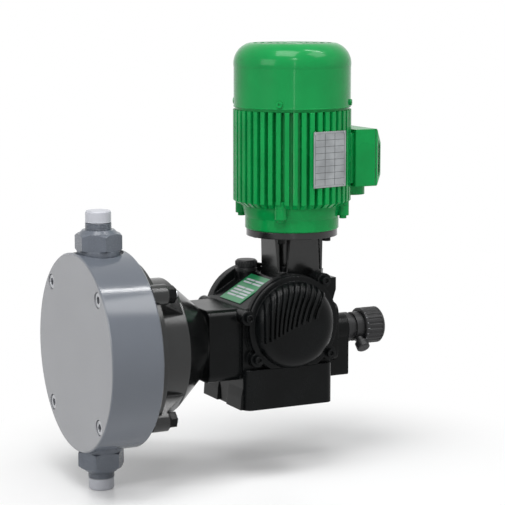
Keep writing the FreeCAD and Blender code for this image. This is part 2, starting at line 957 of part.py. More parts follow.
# Side covers, modelled on the far side and mirrored for the near one
def dome(radius, height, start):
    # A rounded shoulder that runs out into a flat middle.
    flat = radius * 0.55
    bend = math.sqrt(0.5)
    return turned("y", at_barrel(), [
        (start, 0),
        (start, radius),
        ((start + height * bend, flat + (radius - flat) * bend), (start + height, flat)),
        (start + height, 0),
    ])


def side_cover(with_fins):
    start = barrel_half_width
    face = start + cover_flange_thickness
    wide = 3 * barrel_radius
    keep = block(-wide, wide, 0, wide, cover_bottom, 2 * wide)
    flange = rod("y", at_barrel(), start, face, cover_radius)
    ears = [rod("y", place, start, face, ear_radius) for place in ear_places()]
    outside = union(flange, *ears, dome(dome_radius, dome_height, face))
    if with_fins:
        crown = dome(dome_radius + fin_height * 0.5, dome_height + fin_height, face)
        outside = union(outside, *[fin.common(crown) for fin in cover_fins(face)])
    outside = outside.common(keep)
    hollow = dome(dome_radius - cover_wall, dome_height - cover_wall, face)
    hollow = hollow.fuse(rod("y", at_barrel(), start - 1, face, dome_radius - cover_wall))
    inside_keep = block(-wide, wide, 0, wide, cover_bottom + cover_wall, 2 * wide)
    boss = union(
        rod("y", on_pump_axis, wheel_bearing_inner_face, face, bearing_boss_radius),
        rod("y", on_pump_axis, start, face + dome_height, bearing_boss_radius).common(outside),
    )
    pocket = rod("y", on_pump_axis, wheel_bearing_inner_face - 1,
                 wheel_bearing_inner_face + wheel_bearing_width, wheel_bearing_radius)
    relief = rod("y", on_pump_axis, wheel_bearing_inner_face, face + 4, journal_radius + 2)
    holes = [rod("y", place, start - 1, face + 1, cover_screw_radius + screw_gap) for place in ear_places()]
    shell = outside.cut(hollow.common(inside_keep))
    return union(shell, boss).cut([pocket, relief] + holes)


def cover_fins(face):
    # Upright cooling fins that fan out from a point below the cover.
    fins = []
    for k in range(fin_count):
        top_x = fin_first_x + fin_pitch * k
        rise = math.sqrt(dome_radius**2 - (top_x - barrel_x)**2)
        top = Vector(top_x, 0, barrel_z + rise - 1)
        fan = Vector(fin_fan_x, 0, fin_fan_z)
        low_z = 80 + 2.4 * k
        share = (low_z - fin_fan_z) / (top.z - fin_fan_z)
        low = fan + (top - fan) * share
        across = (top - low).cross(Vector(0, 1, 0)).normalize()
        half = across * (fin_thickness / 2)
        middle = (top + low) * 0.5 - across * fin_bow
        if middle.x > (top.x + low.x) / 2:
            middle = (top + low) * 0.5 + across * fin_bow
        outline = [low - half, (middle - half, top - half), top + half, (middle + half, low + half)]
        strip = face_of(outline).extrude(Vector(0, face + 40, 0))
        fins.append(strip)
    return fins


def cover_screws():
    screws = []
    face = barrel_half_width + cover_flange_thickness
    for place in ear_places():
        for side in (-1, 1):
            seat = place + Vector(0, side * face, 0)
            screws.append(socket_screw(seat, Vector(0, side, 0), cover_screw_radius, 18, 5, 5))
    return screws


# Motor support lantern
def square_ring(half, corner, z):
    points = []
    for a, b in ((1, 1), (-1, 1), (-1, -1), (1, -1)):
        first = Vector(worm_x + a * half, b * (half - corner), z)
        second = Vector(worm_x + a * (half - corner), b * half, z)
        points += [first, second] if a * b > 0 else [second, first]
    return Part.makePolygon(points + points[:1])


def lantern():
    top = motor_face - lantern_flange_thickness
    column = Part.makeLoft([
        square_ring(lantern_bottom_half, lantern_corner * 0.7, body_top),
        square_ring(lantern_top_half, lantern_corner, top),
    ], True, True)
    flange = rod("z", on_motor_axis, top, motor_face, lantern_flange_radius)
    spigot = rod("z", on_motor_axis, body_top - lantern_spigot_length, body_top, lantern_spigot_radius)
    bore = rod("z", on_motor_axis, body_top - 10, motor_face + 1, lantern_bore)
    lip = rod("z", on_motor_axis, body_top - 10, body_top + 7, journal_radius + 3)
    seat = rod("z", on_motor_axis, motor_face - motor_spigot_height, motor_face + 1,
               motor_spigot_radius + seat_gap)
    bore = bore.cut(rod("z", on_motor_axis, body_top - 10, body_top + 5, lantern_bore + 1))
    corner_place = Vector(worm_x + motor_screw_circle, 0, 0)
    scallop = Part.makeCone(scallop_radius * 0.75, scallop_radius, top - body_top - 7,
                            corner_place + Vector(0, 0, body_top + 7), axes["z"])
    hole = rod("z", corner_place, top - 1, motor_face + 1, motor_screw_radius + screw_gap)
    foot_place = Vector(worm_x + lantern_screw_offset * math.sqrt(2), 0, 0)
    foot_hole = rod("z", foot_place, body_top - 1, top, motor_screw_radius + screw_gap)
    foot_spot = rod("z", foot_place, body_top + 7, top, motor_screw_radius * 1.6 + 1.4)
    cutters = [bore, lip, seat]
    for cutter in (scallop, hole, foot_hole, foot_spot):
        cutters += around(cutter, "z", on_motor_axis, quarters())
    return union(column, flange, spigot).cut(cutters)


def lantern_screws():
    place = Vector(worm_x + lantern_screw_offset * math.sqrt(2), 0, body_top + 7)
    screw = socket_screw(place, Vector(0, 0, 1), motor_screw_radius, 18)
    return around(screw, "z", on_motor_axis, quarters())


def motor_screws():
    place = Vector(worm_x + motor_screw_circle, 0, motor_face - lantern_flange_thickness)
    screw = socket_screw(place, Vector(0, 0, -1), motor_screw_radius, lantern_flange_thickness + 12)
    return around(screw, "z", on_motor_axis, quarters())


# Worm, wheel and eccentric
def worm_shaft():
    root = worm_pitch_radius - 1.25 * gear_module
    tip = worm_pitch_radius + gear_module
    lean = math.tan(math.radians(pressure_angle))
    half = axial_pitch / 4 - tooth_side_gap / 2
    root_half = half + (worm_pitch_radius - root + 0.3) * lean
    tip_half = half - gear_module * lean
    start = axis_height - worm_length / 2
    helix = Part.makeHelix(axial_pitch, worm_length - axial_pitch, root)
    profile = Part.makePolygon([
        Vector(root - 0.3, 0, -root_half),
        Vector(tip, 0, -tip_half),
        Vector(tip, 0, tip_half),
        Vector(root - 0.3, 0, root_half),
        Vector(root - 0.3, 0, -root_half),
    ])
    thread = Part.Wire(helix.Edges).makePipeShell([Part.Wire(profile.Edges)], True, True)
    thread.translate(Vector(worm_x, 0, start + axial_pitch / 2))
    phase = 360 * (start + axial_pitch / 2 - axis_height) / axial_pitch
    thread.rotate(on_motor_axis, axes["z"], 180 + phase)
    lower_end = axis_height - cheek_half_height - 3 - lower_bearing_width
    bearing_low = body_top - lantern_spigot_length - upper_bearing_width
    shaft = turned("z", on_motor_axis, [
        (lower_end + 1, 0),
        (lower_end + 1, root),
        (start + worm_length, root),
        (start + worm_length + 4, root + 1.5),
        (bearing_low - 1, root + 1.5),
        (bearing_low - 1, journal_radius + 1.5),
        (bearing_low, journal_radius + 1.5),
        (bearing_low, journal_radius),
        (body_top + 4, journal_radius),
        (body_top + 4, motor_shaft_radius),
        (upper_hub_bottom - spider_thickness - 2, motor_shaft_radius),
        (upper_hub_bottom - spider_thickness - 2, 0),
    ])
    return union(shaft, thread)


def worm_wheel():
    # Each gap between the teeth is the worm's rack tooth with some play, set over by the lead angle.
    lean = math.tan(math.radians(pressure_angle + 90 / wheel_teeth))
    outer = wheel_tip_radius
    deep = wheel_pitch_radius - gear_module - tooth_root_gap
    half = axial_pitch / 4 + tooth_side_gap
    blank = rod("y", on_pump_axis, -wheel_width / 2, wheel_width / 2, outer)
    low = half - (wheel_pitch_radius - deep) * lean
    high = half + (outer + 1 - wheel_pitch_radius) * lean
    reach = wheel_width / 2 + 1
    slant = axial_pitch / (2 * math.pi * worm_pitch_radius) * reach
    corners = [Vector(deep, 0, -low), Vector(outer + 1, 0, -high), Vector(outer + 1, 0, high), Vector(deep, 0, low)]
    shifted = [corner + Vector(0, -reach, slant + axis_height) for corner in corners]
    gap = Part.Face(Part.makePolygon(shifted + shifted[:1])).extrude(Vector(0, 2 * reach, -2 * slant))
    gaps = around(gap, "y", on_pump_axis, [360 / wheel_teeth * k for k in range(wheel_teeth)])
    web_cut = tube("y", on_pump_axis, wheel_width / 2 - 4, wheel_width / 2 + 1,
                   wheel_pitch_radius - 5, shaft_radius + 5)
    bore = rod("y", on_pump_axis, -wheel_width, wheel_width, shaft_radius)
    return blank.cut(gaps).cut([web_cut, mirrored_y(web_cut), bore, key_slot(0.0)])


def key_slot(depth_gap):
    low = axis_height + shaft_radius - key_size / 2
    reach = cheek_gap + cheek_thickness + depth_gap
    return block(-key_size / 2, key_size / 2, -reach, reach, low, low + key_size)


def wheel_shaft():
    bearing_outer = wheel_bearing_inner_face + wheel_bearing_width
    body = turned("y", on_pump_axis, [
        (-bearing_outer, 0),
        (-bearing_outer, journal_radius),
        (-wheel_bearing_inner_face, journal_radius),
        (-wheel_bearing_inner_face, shaft_radius),
        (wheel_bearing_inner_face, shaft_radius),
        (wheel_bearing_inner_face, journal_radius),
        (bearing_outer, journal_radius),
        (bearing_outer, 0),
    ])
    return body.cut(key_slot(0.0))


def shaft_key():
    return key_slot(0.0)


def eccentric_places():
    middle = cheek_gap + cheek_thickness / 2
    return [(-middle - eccentric_width / 2, -middle + eccentric_width / 2),
            (middle - eccentric_width / 2, middle + eccentric_width / 2)]


def eccentric_discs():
    centre = on_pump_axis - Vector(throw, 0, 0)
    discs = []
    for low, high in eccentric_places():
        disc = rod("y", centre, low, high, eccentric_radius)
        bore = rod("y", on_pump_axis, low - 1, high + 1, shaft_radius)
        discs.append(disc.cut([bore, key_slot(0.0)]))
    return discs


def eccentric_rings():
    centre = on_pump_axis - Vector(throw, 0, 0)
    return [tube("y", centre, low, high, ring_radius, eccentric_radius + running_gap)
            for low, high in eccentric_places()]


def shaft_spacers():
    inner = wheel_width / 2
    outer = eccentric_places()[1][0]
    far = eccentric_places()[1][1]
    pieces = []
    for low, high in ((inner, outer), (far, wheel_bearing_inner_face - seat_gap)):
        spacer = tube("y", on_pump_axis, low, high, shaft_radius + 2.6, shaft_radius + running_gap)
        spacer = spacer.cut(key_slot(0.1))
        pieces += [spacer, mirrored_y(spacer)]
    return pieces


def crosshead():
    outer = cheek_gap + cheek_thickness
    half = cheek_half_height
    rear_end = rear_bridge_start + rear_bridge_thickness
    frame = rounded_bar("xz", -bridge_front, rear_end, axis_height - half, axis_height + half,
                        6, -outer, outer)
    between = block(-bridge_front + bridge_thickness, rear_bridge_start, -cheek_gap, cheek_gap,
                    axis_height - half - 1, axis_height + half + 1)
    window_half = ring_radius + throw + body_gap
    window = rounded_bar("xz", window_front_x, window_rear_x, axis_height - window_half,
                         axis_height + window_half, 2, -outer - 1, outer + 1)
    tail = rod("x", on_pump_axis, rear_end - 1, tail_end_x, tail_radius)
    bore = rod("x", on_pump_axis, -bridge_front - 1, -bridge_front + bridge_thickness - 3,
               rod_radius * 0.66 + running_gap)
    return union(frame.cut([between, window]), tail).cut(bore)


def wheel_bearings():
    start = wheel_bearing_inner_face
    end = start + wheel_bearing_width
    far = bearing("y", on_pump_axis, start, end, wheel_bearing_radius, journal_radius + running_gap)
    return [far, mirrored_y(far)]


def worm_bearings():
    root = worm_pitch_radius - 1.25 * gear_module
    low_top = axis_height - cheek_half_height - 3
    lower = bearing("z", on_motor_axis, low_top - lower_bearing_width, low_top,
                    lower_bearing_radius, root + running_gap)
    high_top = body_top - lantern_spigot_length
    upper = bearing("z", on_motor_axis, high_top - upper_bearing_width, high_top,
                    upper_bearing_radius, journal_radius + running_gap)
    return [lower, upper]


# Coupling
def hub_jaws(low, high, start_angle):
    jaws = []
    half = 24
    for k in range(3):
        turn = start_angle + 120 * k
        points = [(0.0, 0.0)]
        for angle in (turn - half, turn, turn + half):
            points.append((40 * math.cos(math.radians(angle)), 40 * math.sin(math.radians(angle))))
        wedge = prism("xy", points, low, high)
        wedge.translate(on_motor_axis)
        jaws.append(wedge.common(tube("z", on_motor_axis, low, high, hub_radius, motor_shaft_radius + 1.5)))
    return jaws


def upper_hub():
    low = upper_hub_bottom
    body = rod("z", on_motor_axis, low, upper_hub_top, hub_radius)
    bore = rod("z", on_motor_axis, low - 10, upper_hub_top + 1, motor_shaft_radius)
    return union(body, *hub_jaws(low - spider_thickness, low, 0)).cut(bore)


def lower_hub():
    top = upper_hub_bottom - spider_thickness
    body = rod("z", on_motor_axis, lower_hub_bottom, top, hub_radius)
    bore = rod("z", on_motor_axis, lower_hub_bottom - 1, top + 10, motor_shaft_radius)
    return union(body, *hub_jaws(top, upper_hub_bottom, 60)).cut(bore)


def coupling_spider():
    low = upper_hub_bottom - spider_thickness
    disc = tube("z", on_motor_axis, low, upper_hub_bottom, hub_radius - 0.5, motor_shaft_radius + 1)
    return disc.cut(hub_jaws(low, upper_hub_bottom, 0) + hub_jaws(low, upper_hub_bottom, 60))


# Motor
def motor_end_shield():
    low = motor_face
    wide = low + shield_flange_height
    top = frame_bottom
    boss = motor_bearing_radius
    bearing_low = top - 6
    body = turned("z", on_motor_axis, [
        (low - motor_spigot_height, boss - 5),
        (low - motor_spigot_height, motor_spigot_radius),
        (low, motor_spigot_radius),
        (low, shield_flange_radius - 1),
        (low + 1, shield_flange_radius),
        (wide - 6, shield_flange_radius),
        ((wide, shield_flange_radius + 2), (top, shield_top_radius)),
        (top, frame_bore_radius),
        (low + 10, frame_bore_radius - 8),
        (low + 8, boss + 5),
        (bearing_low + motor_bearing_width, boss + 5),
        (bearing_low + motor_bearing_width, boss),
        (bearing_low, boss),
        (bearing_low, boss - 5),
    ])
    lug = rod("z", on_motor_axis + Vector(lug_circle_radius, 0, 0), top - 12, top, 7)
    lugs = around(lug, "z", on_motor_axis, quarters(clocking))
    tapped = rod("z", on_motor_axis + Vector(motor_screw_circle, 0, 0), low - 1, low + 13, motor_screw_radius)
    cutters = around(tapped, "z", on_motor_axis, quarters())
    inside = rod("z", on_motor_axis, top - 3, top + 1, frame_bore_radius)
    bolt = rod("z", on_motor_axis + Vector(lug_circle_radius, 0, 0), top - 13, top + 1, 2.5 + seat_gap)
    cutters += around(bolt, "z", on_motor_axis, quarters(clocking))
    return union(body, *lugs).cut(cutters)


def nameplate_block(inner, outer, margin):
    half_width = nameplate_width / 2 - margin
    half_height = nameplate_height / 2 - margin
    piece = block(inner, outer, -half_width, half_width,
                  nameplate_middle - half_height, nameplate_middle + half_height)
    piece.translate(on_motor_axis)
    piece.rotate(on_motor_axis, axes["z"], nameplate_angle)
    return piece


def motor_frame():
    fin_low = frame_bottom
    fin = prism("xz", [
        (frame_radius - 2, fin_low),
        (frame_radius + 1, fin_low),
        (fin_tip_radius + 1, fin_low + fin_end_slant),
        (fin_tip_radius + 1, frame_top),
        (frame_radius - 2, frame_top),
    ], -frame_fin_width / 2, frame_fin_width / 2)
    fin.translate(on_motor_axis)
    step = 360 / frame_fins
    fins = around(fin, "z", on_motor_axis, [step * k for k in range(frame_fins)])
    shell = rod("z", on_motor_axis, frame_bottom, frame_top, frame_radius)
    trim = tube("z", on_motor_axis, frame_bottom - 1, frame_top + 1, fin_tip_radius + 10, fin_tip_radius)
    pad = block(box_inner - 16, box_inner, -box_half_width + 4, box_half_width - 4, box_bottom + 4, box_top - 4)
    pad.translate(on_motor_axis)
    plate_pad = nameplate_block(frame_radius - 4, fin_tip_radius - 1, 2)
    lug = rod("z", on_motor_axis + Vector(lug_circle_radius, 0, 0), frame_bottom, frame_bottom + 9, 7)
    lugs = around(lug, "z", on_motor_axis, quarters(clocking))
    bore = rod("z", on_motor_axis, frame_bottom - 1, frame_top + 1, frame_bore_radius)
    body = shell.fuse(fins).cut([bore, trim])
    body = body.fuse([extra.cut(bore) for extra in lugs + [pad, plate_pad]])
    hole = rod("z", on_motor_axis + Vector(lug_circle_radius, 0, 0), frame_bottom - 1, frame_bottom + 8, 2.5)
    clear_box = block(box_inner, box_outer + 10, -box_half_width, box_half_width, box_bottom, box_top)
    clear_box.translate(on_motor_axis)
    clear_plate = nameplate_block(fin_tip_radius - 1, fin_tip_radius + 10, 0)
    return body.cut(around(hole, "z", on_motor_axis, quarters(clocking)) + [clear_box, clear_plate])


def shield_bolts():
    place = Vector(worm_x + lug_circle_radius, 0, frame_bottom - 12)
    bolt = socket_screw(place, Vector(0, 0, -1), 2.5, 19, 4.2, 3.6)
    return around(bolt, "z", on_motor_axis, quarters(clocking))


def stator_core():
    return tube("z", on_motor_axis, core_bottom, core_top, frame_bore_radius, rotor_radius + rotor_air_gap)


def stator_windings():
    inner = rotor_radius + 3
    outer = frame_bore_radius - 4
    ends = []
    for low in (core_bottom - winding_height, core_top):
        high = low + winding_height
        ends.append(turned("z", on_motor_axis, [
            (low, inner + 3),
            (low, outer - 3),
            (low + 3, outer),
            (high - 3, outer),
            (high, outer - 3),
            (high, inner + 3),
            (high - 3, inner),
            (low + 3, inner),
        ]))
    return ends


def rotor_core():
    return tube("z", on_motor_axis, core_bottom, core_top, rotor_radius, motor_journal_radius + 1)


def motor_shaft():
    low_bearing = frame_bottom - 6
    high_bearing = frame_top - 2
    return turned("z", on_motor_axis, [
        (upper_hub_bottom + 2, 0),
        (upper_hub_bottom + 2, motor_shaft_radius),
        (low_bearing - 1, motor_shaft_radius),
        (low_bearing, motor_journal_radius),
        (low_bearing + motor_bearing_width, motor_journal_radius),
        (low_bearing + motor_bearing_width, motor_journal_radius + 1),
        (high_bearing, motor_journal_radius + 1),
        (high_bearing, motor_journal_radius),
        (high_bearing + motor_bearing_width, motor_journal_radius),
        (high_bearing + motor_bearing_width, motor_shaft_radius),
        (fan_top - 4, motor_shaft_radius),
        (fan_top - 4, 0),
    ])


def motor_bearings():
    lower = bearing("z", on_motor_axis, frame_bottom - 6, frame_bottom - 6 + motor_bearing_width,
                    motor_bearing_radius, motor_journal_radius + running_gap)
    upper = bearing("z", on_motor_axis, frame_top - 2, frame_top - 2 + motor_bearing_width,
                    motor_bearing_radius, motor_journal_radius + running_gap)
    return [lower, upper]


def motor_rear_shield():
    low = frame_top
    boss = motor_bearing_radius
    radius_of_rim = fan_cover_radius - fan_cover_wall - seat_gap
    bearing_low = frame_top - 2
    bearing_high = bearing_low + motor_bearing_width
    hole = rod("x", Vector(0, 0, fan_cover_seam + 6), radius_of_rim - 8, radius_of_rim + 1, 1.9)
    hole.translate(on_motor_axis)
    body = turned("z", on_motor_axis, [
        (low, frame_bore_radius - 2),
        (low, radius_of_rim),
        (low + 14, radius_of_rim),
        (low + 14, fan_cover_radius - 8),
        (low + 6, fan_cover_radius - 10),
        (low + 6, boss + 8),
        (bearing_high + 3, boss + 5),
        (bearing_high + 3, motor_journal_radius + 2),
        (bearing_high, motor_journal_radius + 2),
        (bearing_high, boss),
        (bearing_low - 2, boss),
        (bearing_low - 2, boss + 5),
        (low, boss + 8),
        (low, boss + 8.5),
    ])
    return body.cut(around(hole, "z", on_motor_axis, quarters(clocking)))


def cooling_fan():
    hub = tube("z", on_motor_axis, fan_bottom, fan_top, fan_hub_radius, motor_shaft_radius)
    disc = tube("z", on_motor_axis, fan_bottom, fan_bottom + 3, fan_blade_radius - 6, fan_hub_radius - 1)
    blade = block(fan_hub_radius - 2, fan_blade_radius, -1.2, 1.2, fan_bottom, fan_top)
    blade.translate(on_motor_axis)
    blades = around(blade, "z", on_motor_axis, [360 / fan_blades * k for k in range(fan_blades)])
    return union(hub, disc, *blades)


def fan_cover():
    wall = fan_cover_wall
    radius = fan_cover_radius
    bend = math.sqrt(0.5)
    rise = fan_cover_top - fan_cover_straight_top
    reach = radius - grille_radius
    outer_middle = (fan_cover_straight_top + rise * bend, grille_radius + reach * bend)
    inner_middle = (fan_cover_straight_top + (rise - wall) * bend, grille_radius + (reach - wall) * bend)
    shell = turned("z", on_motor_axis, [
        (fan_cover_seam, radius - wall),
        (fan_cover_seam, radius),
        (fan_cover_straight_top, radius),
        (outer_middle, (fan_cover_top, grille_radius)),
        (fan_cover_top, 0),
        (fan_cover_top - wall, 0),
        (fan_cover_top - wall, grille_radius),
        (inner_middle, (fan_cover_straight_top, radius - wall)),
    ])
    slots = []
    pitch = (grille_radius - 4) / (grille_rings + 0.5)
    for ring in range(grille_rings):
        inner = pitch * (ring + 0.9)
        slot = tube("z", on_motor_axis, fan_cover_top - wall - 1, fan_cover_top + 1,
                    inner + pitch * 0.55, inner)
        slots.append(slot)
    bar = block(0, radius, -1.6, 1.6, fan_cover_top - wall - 2, fan_cover_top + 2)
    bar.translate(on_motor_axis)
    bars = around(bar, "z", on_motor_axis, [360 / grille_sectors * k + 15 for k in range(grille_sectors)])
    opened = [slot.cut(bars) for slot in slots]
    hole = rod("x", Vector(0, 0, fan_cover_seam + 6), radius - 6, radius + 4, 2)
    hole.translate(on_motor_axis)
    holes = around(hole, "z", on_motor_axis, quarters(clocking))
    return shell.cut(opened + holes)


def fan_cover_screws():
    seat = Vector(worm_x + fan_cover_radius, 0, fan_cover_seam + 6)
    screw = socket_screw(seat, Vector(1, 0, 0), 1.9, 7, 3.6, 2.2)
    return around(screw, "z", on_motor_axis, quarters(clocking))


def box_profile(outer, shrink):
    out = box_chamfer_out
    low = box_bottom + shrink
    high = box_top - shrink
    x_out = worm_x + outer
    return [
        (worm_x + box_inner, low),
        (worm_x + box_inner, high),
        (x_out - out, high),
        (x_out, high - box_chamfer_top),
        (x_out, low + box_chamfer_bottom),
        (x_out - out, low),
    ]


def box_block(shrink):
    body = prism("xz", box_profile(box_outer - shrink, shrink), -box_half_width + shrink, box_half_width - shrink)
    edge_cut = prism("xy", [
        (worm_x + box_outer - box_chamfer_out, box_half_width + 1),
        (worm_x + box_outer + 1, box_half_width - box_chamfer_out),
        (worm_x + box_outer + 1, box_half_width + 1),
    ], box_bottom - 1, box_top + 1)
    return body.cut([edge_cut, mirrored_y(edge_cut)])


def terminal_box():
    body = box_block(0).common(block(-300, worm_x + box_lid_seam, -100, 100, 0, 500))
    hollow = box_block(box_wall).common(block(worm_x + box_inner + box_wall, 400, -100, 100, 0, 500))
    boss = rod("z", Vector(worm_x + gland_x, 0, 0), box_bottom - gland_boss_length, box_bottom, gland_boss_radius)
    foot = block(worm_x + box_inner, worm_x + gland_x, -gland_boss_radius, gland_boss_radius,
                 box_bottom - gland_boss_length + 3, box_bottom)
    entry = rod("z", Vector(worm_x + gland_x, 0, 0), box_bottom - gland_boss_length - 1,
                box_bottom + box_wall + 1, gland_radius)
    fins_clear = rod("z", on_motor_axis, box_bottom - 30, box_bottom, fin_tip_radius + body_gap)
    neck = union(boss, foot).cut(fins_clear)
    return union(body, neck).cut([hollow, entry])


def terminal_lid():
    body = box_block(0).common(block(worm_x + box_lid_seam, 400, -100, 100, 0, 500))
    return body.cut(box_block(box_wall))


def terminal_board():
    x0 = worm_x + box_inner + box_wall
    middle = (box_bottom + box_top) / 2
    plate = block(x0, x0 + 6, -24, 24, middle - 16, middle + 16)
    studs = []
    for row in (-1, 1):
        for column in (-1, 0, 1):
            studs.append(rod("x", Vector(0, column * 14, middle + row * 8), x0 + 5, x0 + 14, 2.2))
    return union(plate, *studs)


def motor_nameplate():
    return nameplate_block(fin_tip_radius - 1, fin_tip_radius - 1 + plate_thickness, 0)


# Plates and plugs on the gearbox
def label_plate():
    low, high = slope_points()
    rise = math.degrees(math.atan2(high[1] - low[1], high[0] - low[0]))
    middle = Vector((low[0] + high[0]) / 2, 0, (low[1] + high[1]) / 2)
    plate = block(-label_length / 2, label_length / 2, -label_width / 2, label_width / 2, 0, plate_thickness)
    plate.rotate(Vector(0, 0, 0), axes["y"], -rise)
    plate.translate(middle)
    return plate


def oil_plug():
    centre = Vector(oil_plug_x, oil_plug_y, 0)
    low = oil_plug_bottom
    high = low + oil_plug_height
    cap = turned("z", centre, [
        (low, 0),
        (low, oil_plug_radius + oil_plug_rim),
        (low + 3, oil_plug_radius + oil_plug_rim),
        (low + 3, oil_plug_radius - 1),
        (low + 5, oil_plug_radius - 1),
        (low + 5, oil_plug_radius),
        (high - 1.5, oil_plug_radius),
        (high, oil_plug_radius - 1.5),
        (high, 0),
    ])
    thread = rod("z", centre, low - 14, low, oil_thread_radius - seat_gap)
    return union(cap, thread)


# Stroke adjuster
def adjuster_sleeve():
    start = rear_collar_end
    flange_end = start + sleeve_flange_length
    groove_end = flange_end + sleeve_groove_length
    bore = spindle_tip_radius + running_gap
    body = turned("x", on_pump_axis, [
        (start, bore),
        (start, rear_collar_radius),
        (flange_end, rear_collar_radius),
        (flange_end, sleeve_groove_radius),
        (groove_end, sleeve_groove_radius),
        (groove_end, sleeve_radius),
        (sleeve_end, sleeve_radius),
        (sleeve_end, knob_hub_radius + 0.5),
        (sleeve_end - hub_recess, knob_hub_radius + 0.5),
        (sleeve_end - hub_recess, bore),
    ])
    screw_hole = rod("z", Vector(lock_x, 0, 0), axis_height - sleeve_radius - 2, axis_height - bore + 1,
                     lock_radius + running_gap)
    return body.cut(around(screw_hole, "x", on_pump_axis, [lock_turn]))


def adjuster_spindle():
    start = tail_end_x + body_gap
    return turned("x", on_pump_axis, [
        (start, 0),
        (start, spindle_tip_radius),
        (sleeve_end - 8, spindle_tip_radius),
        (sleeve_end - 8, spindle_radius),
        (spindle_end, spindle_radius),
        (spindle_end, 0),
    ])


def stroke_knob():
    hub_start = sleeve_end - hub_recess + body_gap
    inner_end = knob_end - knob_wall
    body = turned("x", on_pump_axis, [
        (hub_start, spindle_radius + running_gap),
        (hub_start, knob_hub_radius),
        (sleeve_end + body_gap, knob_hub_radius),
        (sleeve_end + body_gap, knob_skirt_bore),
        (knob_front, knob_skirt_bore),
        (knob_front, knob_radius - 1),
        (knob_front + 1, knob_radius),
        (knob_end - 2, knob_radius),
        (knob_end, knob_radius - 2),
        (knob_end, 0),
        (inner_end, 0),
        (inner_end, spindle_radius + running_gap),
    ])
    flute = rod("x", on_pump_axis + Vector(0, knob_radius + 1.2, 0), knob_front + 4, knob_end - 4, 2)
    return body.cut(around(flute, "x", on_pump_axis, [15 * k for k in range(24)]))


def lock_screw():
    top = axis_height - spindle_tip_radius - body_gap
    seat = axis_height - sleeve_radius - body_gap
    low = seat - lock_head_length
    screw = turned("z", Vector(lock_x, 0, 0), [
        (low, 0),
        (low, lock_head_radius - 1),
        (low + 1, lock_head_radius),
        (seat - 6, lock_head_radius),
        (seat - 5, lock_head_radius * 0.6),
        (seat, lock_head_radius * 0.6),
        (seat, lock_radius),
        (top, lock_radius),
        (top, 0),
    ])
    screw.rotate(on_pump_axis, axes["x"], lock_turn)
    return screw


def build():
    save("pump_head", pump_head())
    save("head_bolts", *head_bolts())
    save("head_nuts", *head_nuts(), *head_washers())
    save("discharge_valve_body", valve_body(discharge_hex_turn))
    save("suction_valve_body", upside_down(valve_body(suction_hex_turn)))
    save("port_seals", port_seal(), upside_down(port_seal()))
    save("discharge_port_cap", port_cap())
    save("suction_port_cap", upside_down(port_cap()))
    save("discharge_ball", valve_ball(True))
    save("suction_ball", valve_ball(False))
    save("valve_seats", valve_seat(True), valve_seat(False))
    save("ball_cages", ball_cage(True), ball_cage(False))
    save("diaphragm", diaphragm())
    save("diaphragm_insert", diaphragm_insert())
    save("backing_plate", backing_plate())
    save("push_rod", push_rod())
    save("rod_bush", rod_bush())
    save("rod_seal", rod_seal())
    save("return_spring", return_spring())
    save("front_bracket", front_bracket())
    save("bracket_screws", *bracket_screws())
    save("gearbox_housing", gearbox_housing())
    save("far_side_cover", side_cover(False))
    save("near_side_cover", mirrored_y(side_cover(True)))
    save("cover_screws", *cover_screws())
    save("label_plate", label_plate())
    save("oil_plug", oil_plug())
    save("crosshead", crosshead())
    save("wheel_shaft", wheel_shaft())
    save("shaft_key", shaft_key())
    save("worm_wheel", worm_wheel())
    save("shaft_spacers", *shaft_spacers())
    save("eccentric_discs", *eccentric_discs())
    save("eccentric_rings", *eccentric_rings())
    save("gearbox_bearings", *wheel_bearings(), *worm_bearings())
    save("worm_shaft", worm_shaft())
    save("lower_coupling_hub", lower_hub())
    save("coupling_spider", coupling_spider())
    save("upper_coupling_hub", upper_hub())
    save("lantern", lantern())
    save("lantern_screws", *lantern_screws(), *motor_screws())
    save("motor_end_shield", motor_end_shield())
    save("motor_frame", motor_frame())
    save("stator_core", stator_core())
    save("stator_windings", *stator_windings())
    save("rotor_core", rotor_core())
    save("motor_shaft", motor_shaft())
    save("motor_bearings", *motor_bearings())
    save("motor_rear_shield", motor_rear_shield())
    save("cooling_fan", cooling_fan())
    save("fan_cover", fan_cover())
    save("motor_screws", *shield_bolts(), *fan_cover_screws())
    save("terminal_box", terminal_box())
    save("terminal_lid", terminal_lid())
    save("terminal_board", terminal_board())
    save("motor_nameplate", motor_nameplate())


def build_adjuster():
    save("adjuster_sleeve", adjuster_sleeve())
    save("adjuster_spindle", adjuster_spindle())
    save("stroke_knob", stroke_knob())
    save("lock_screw", lock_screw())


build()
build_adjuster()
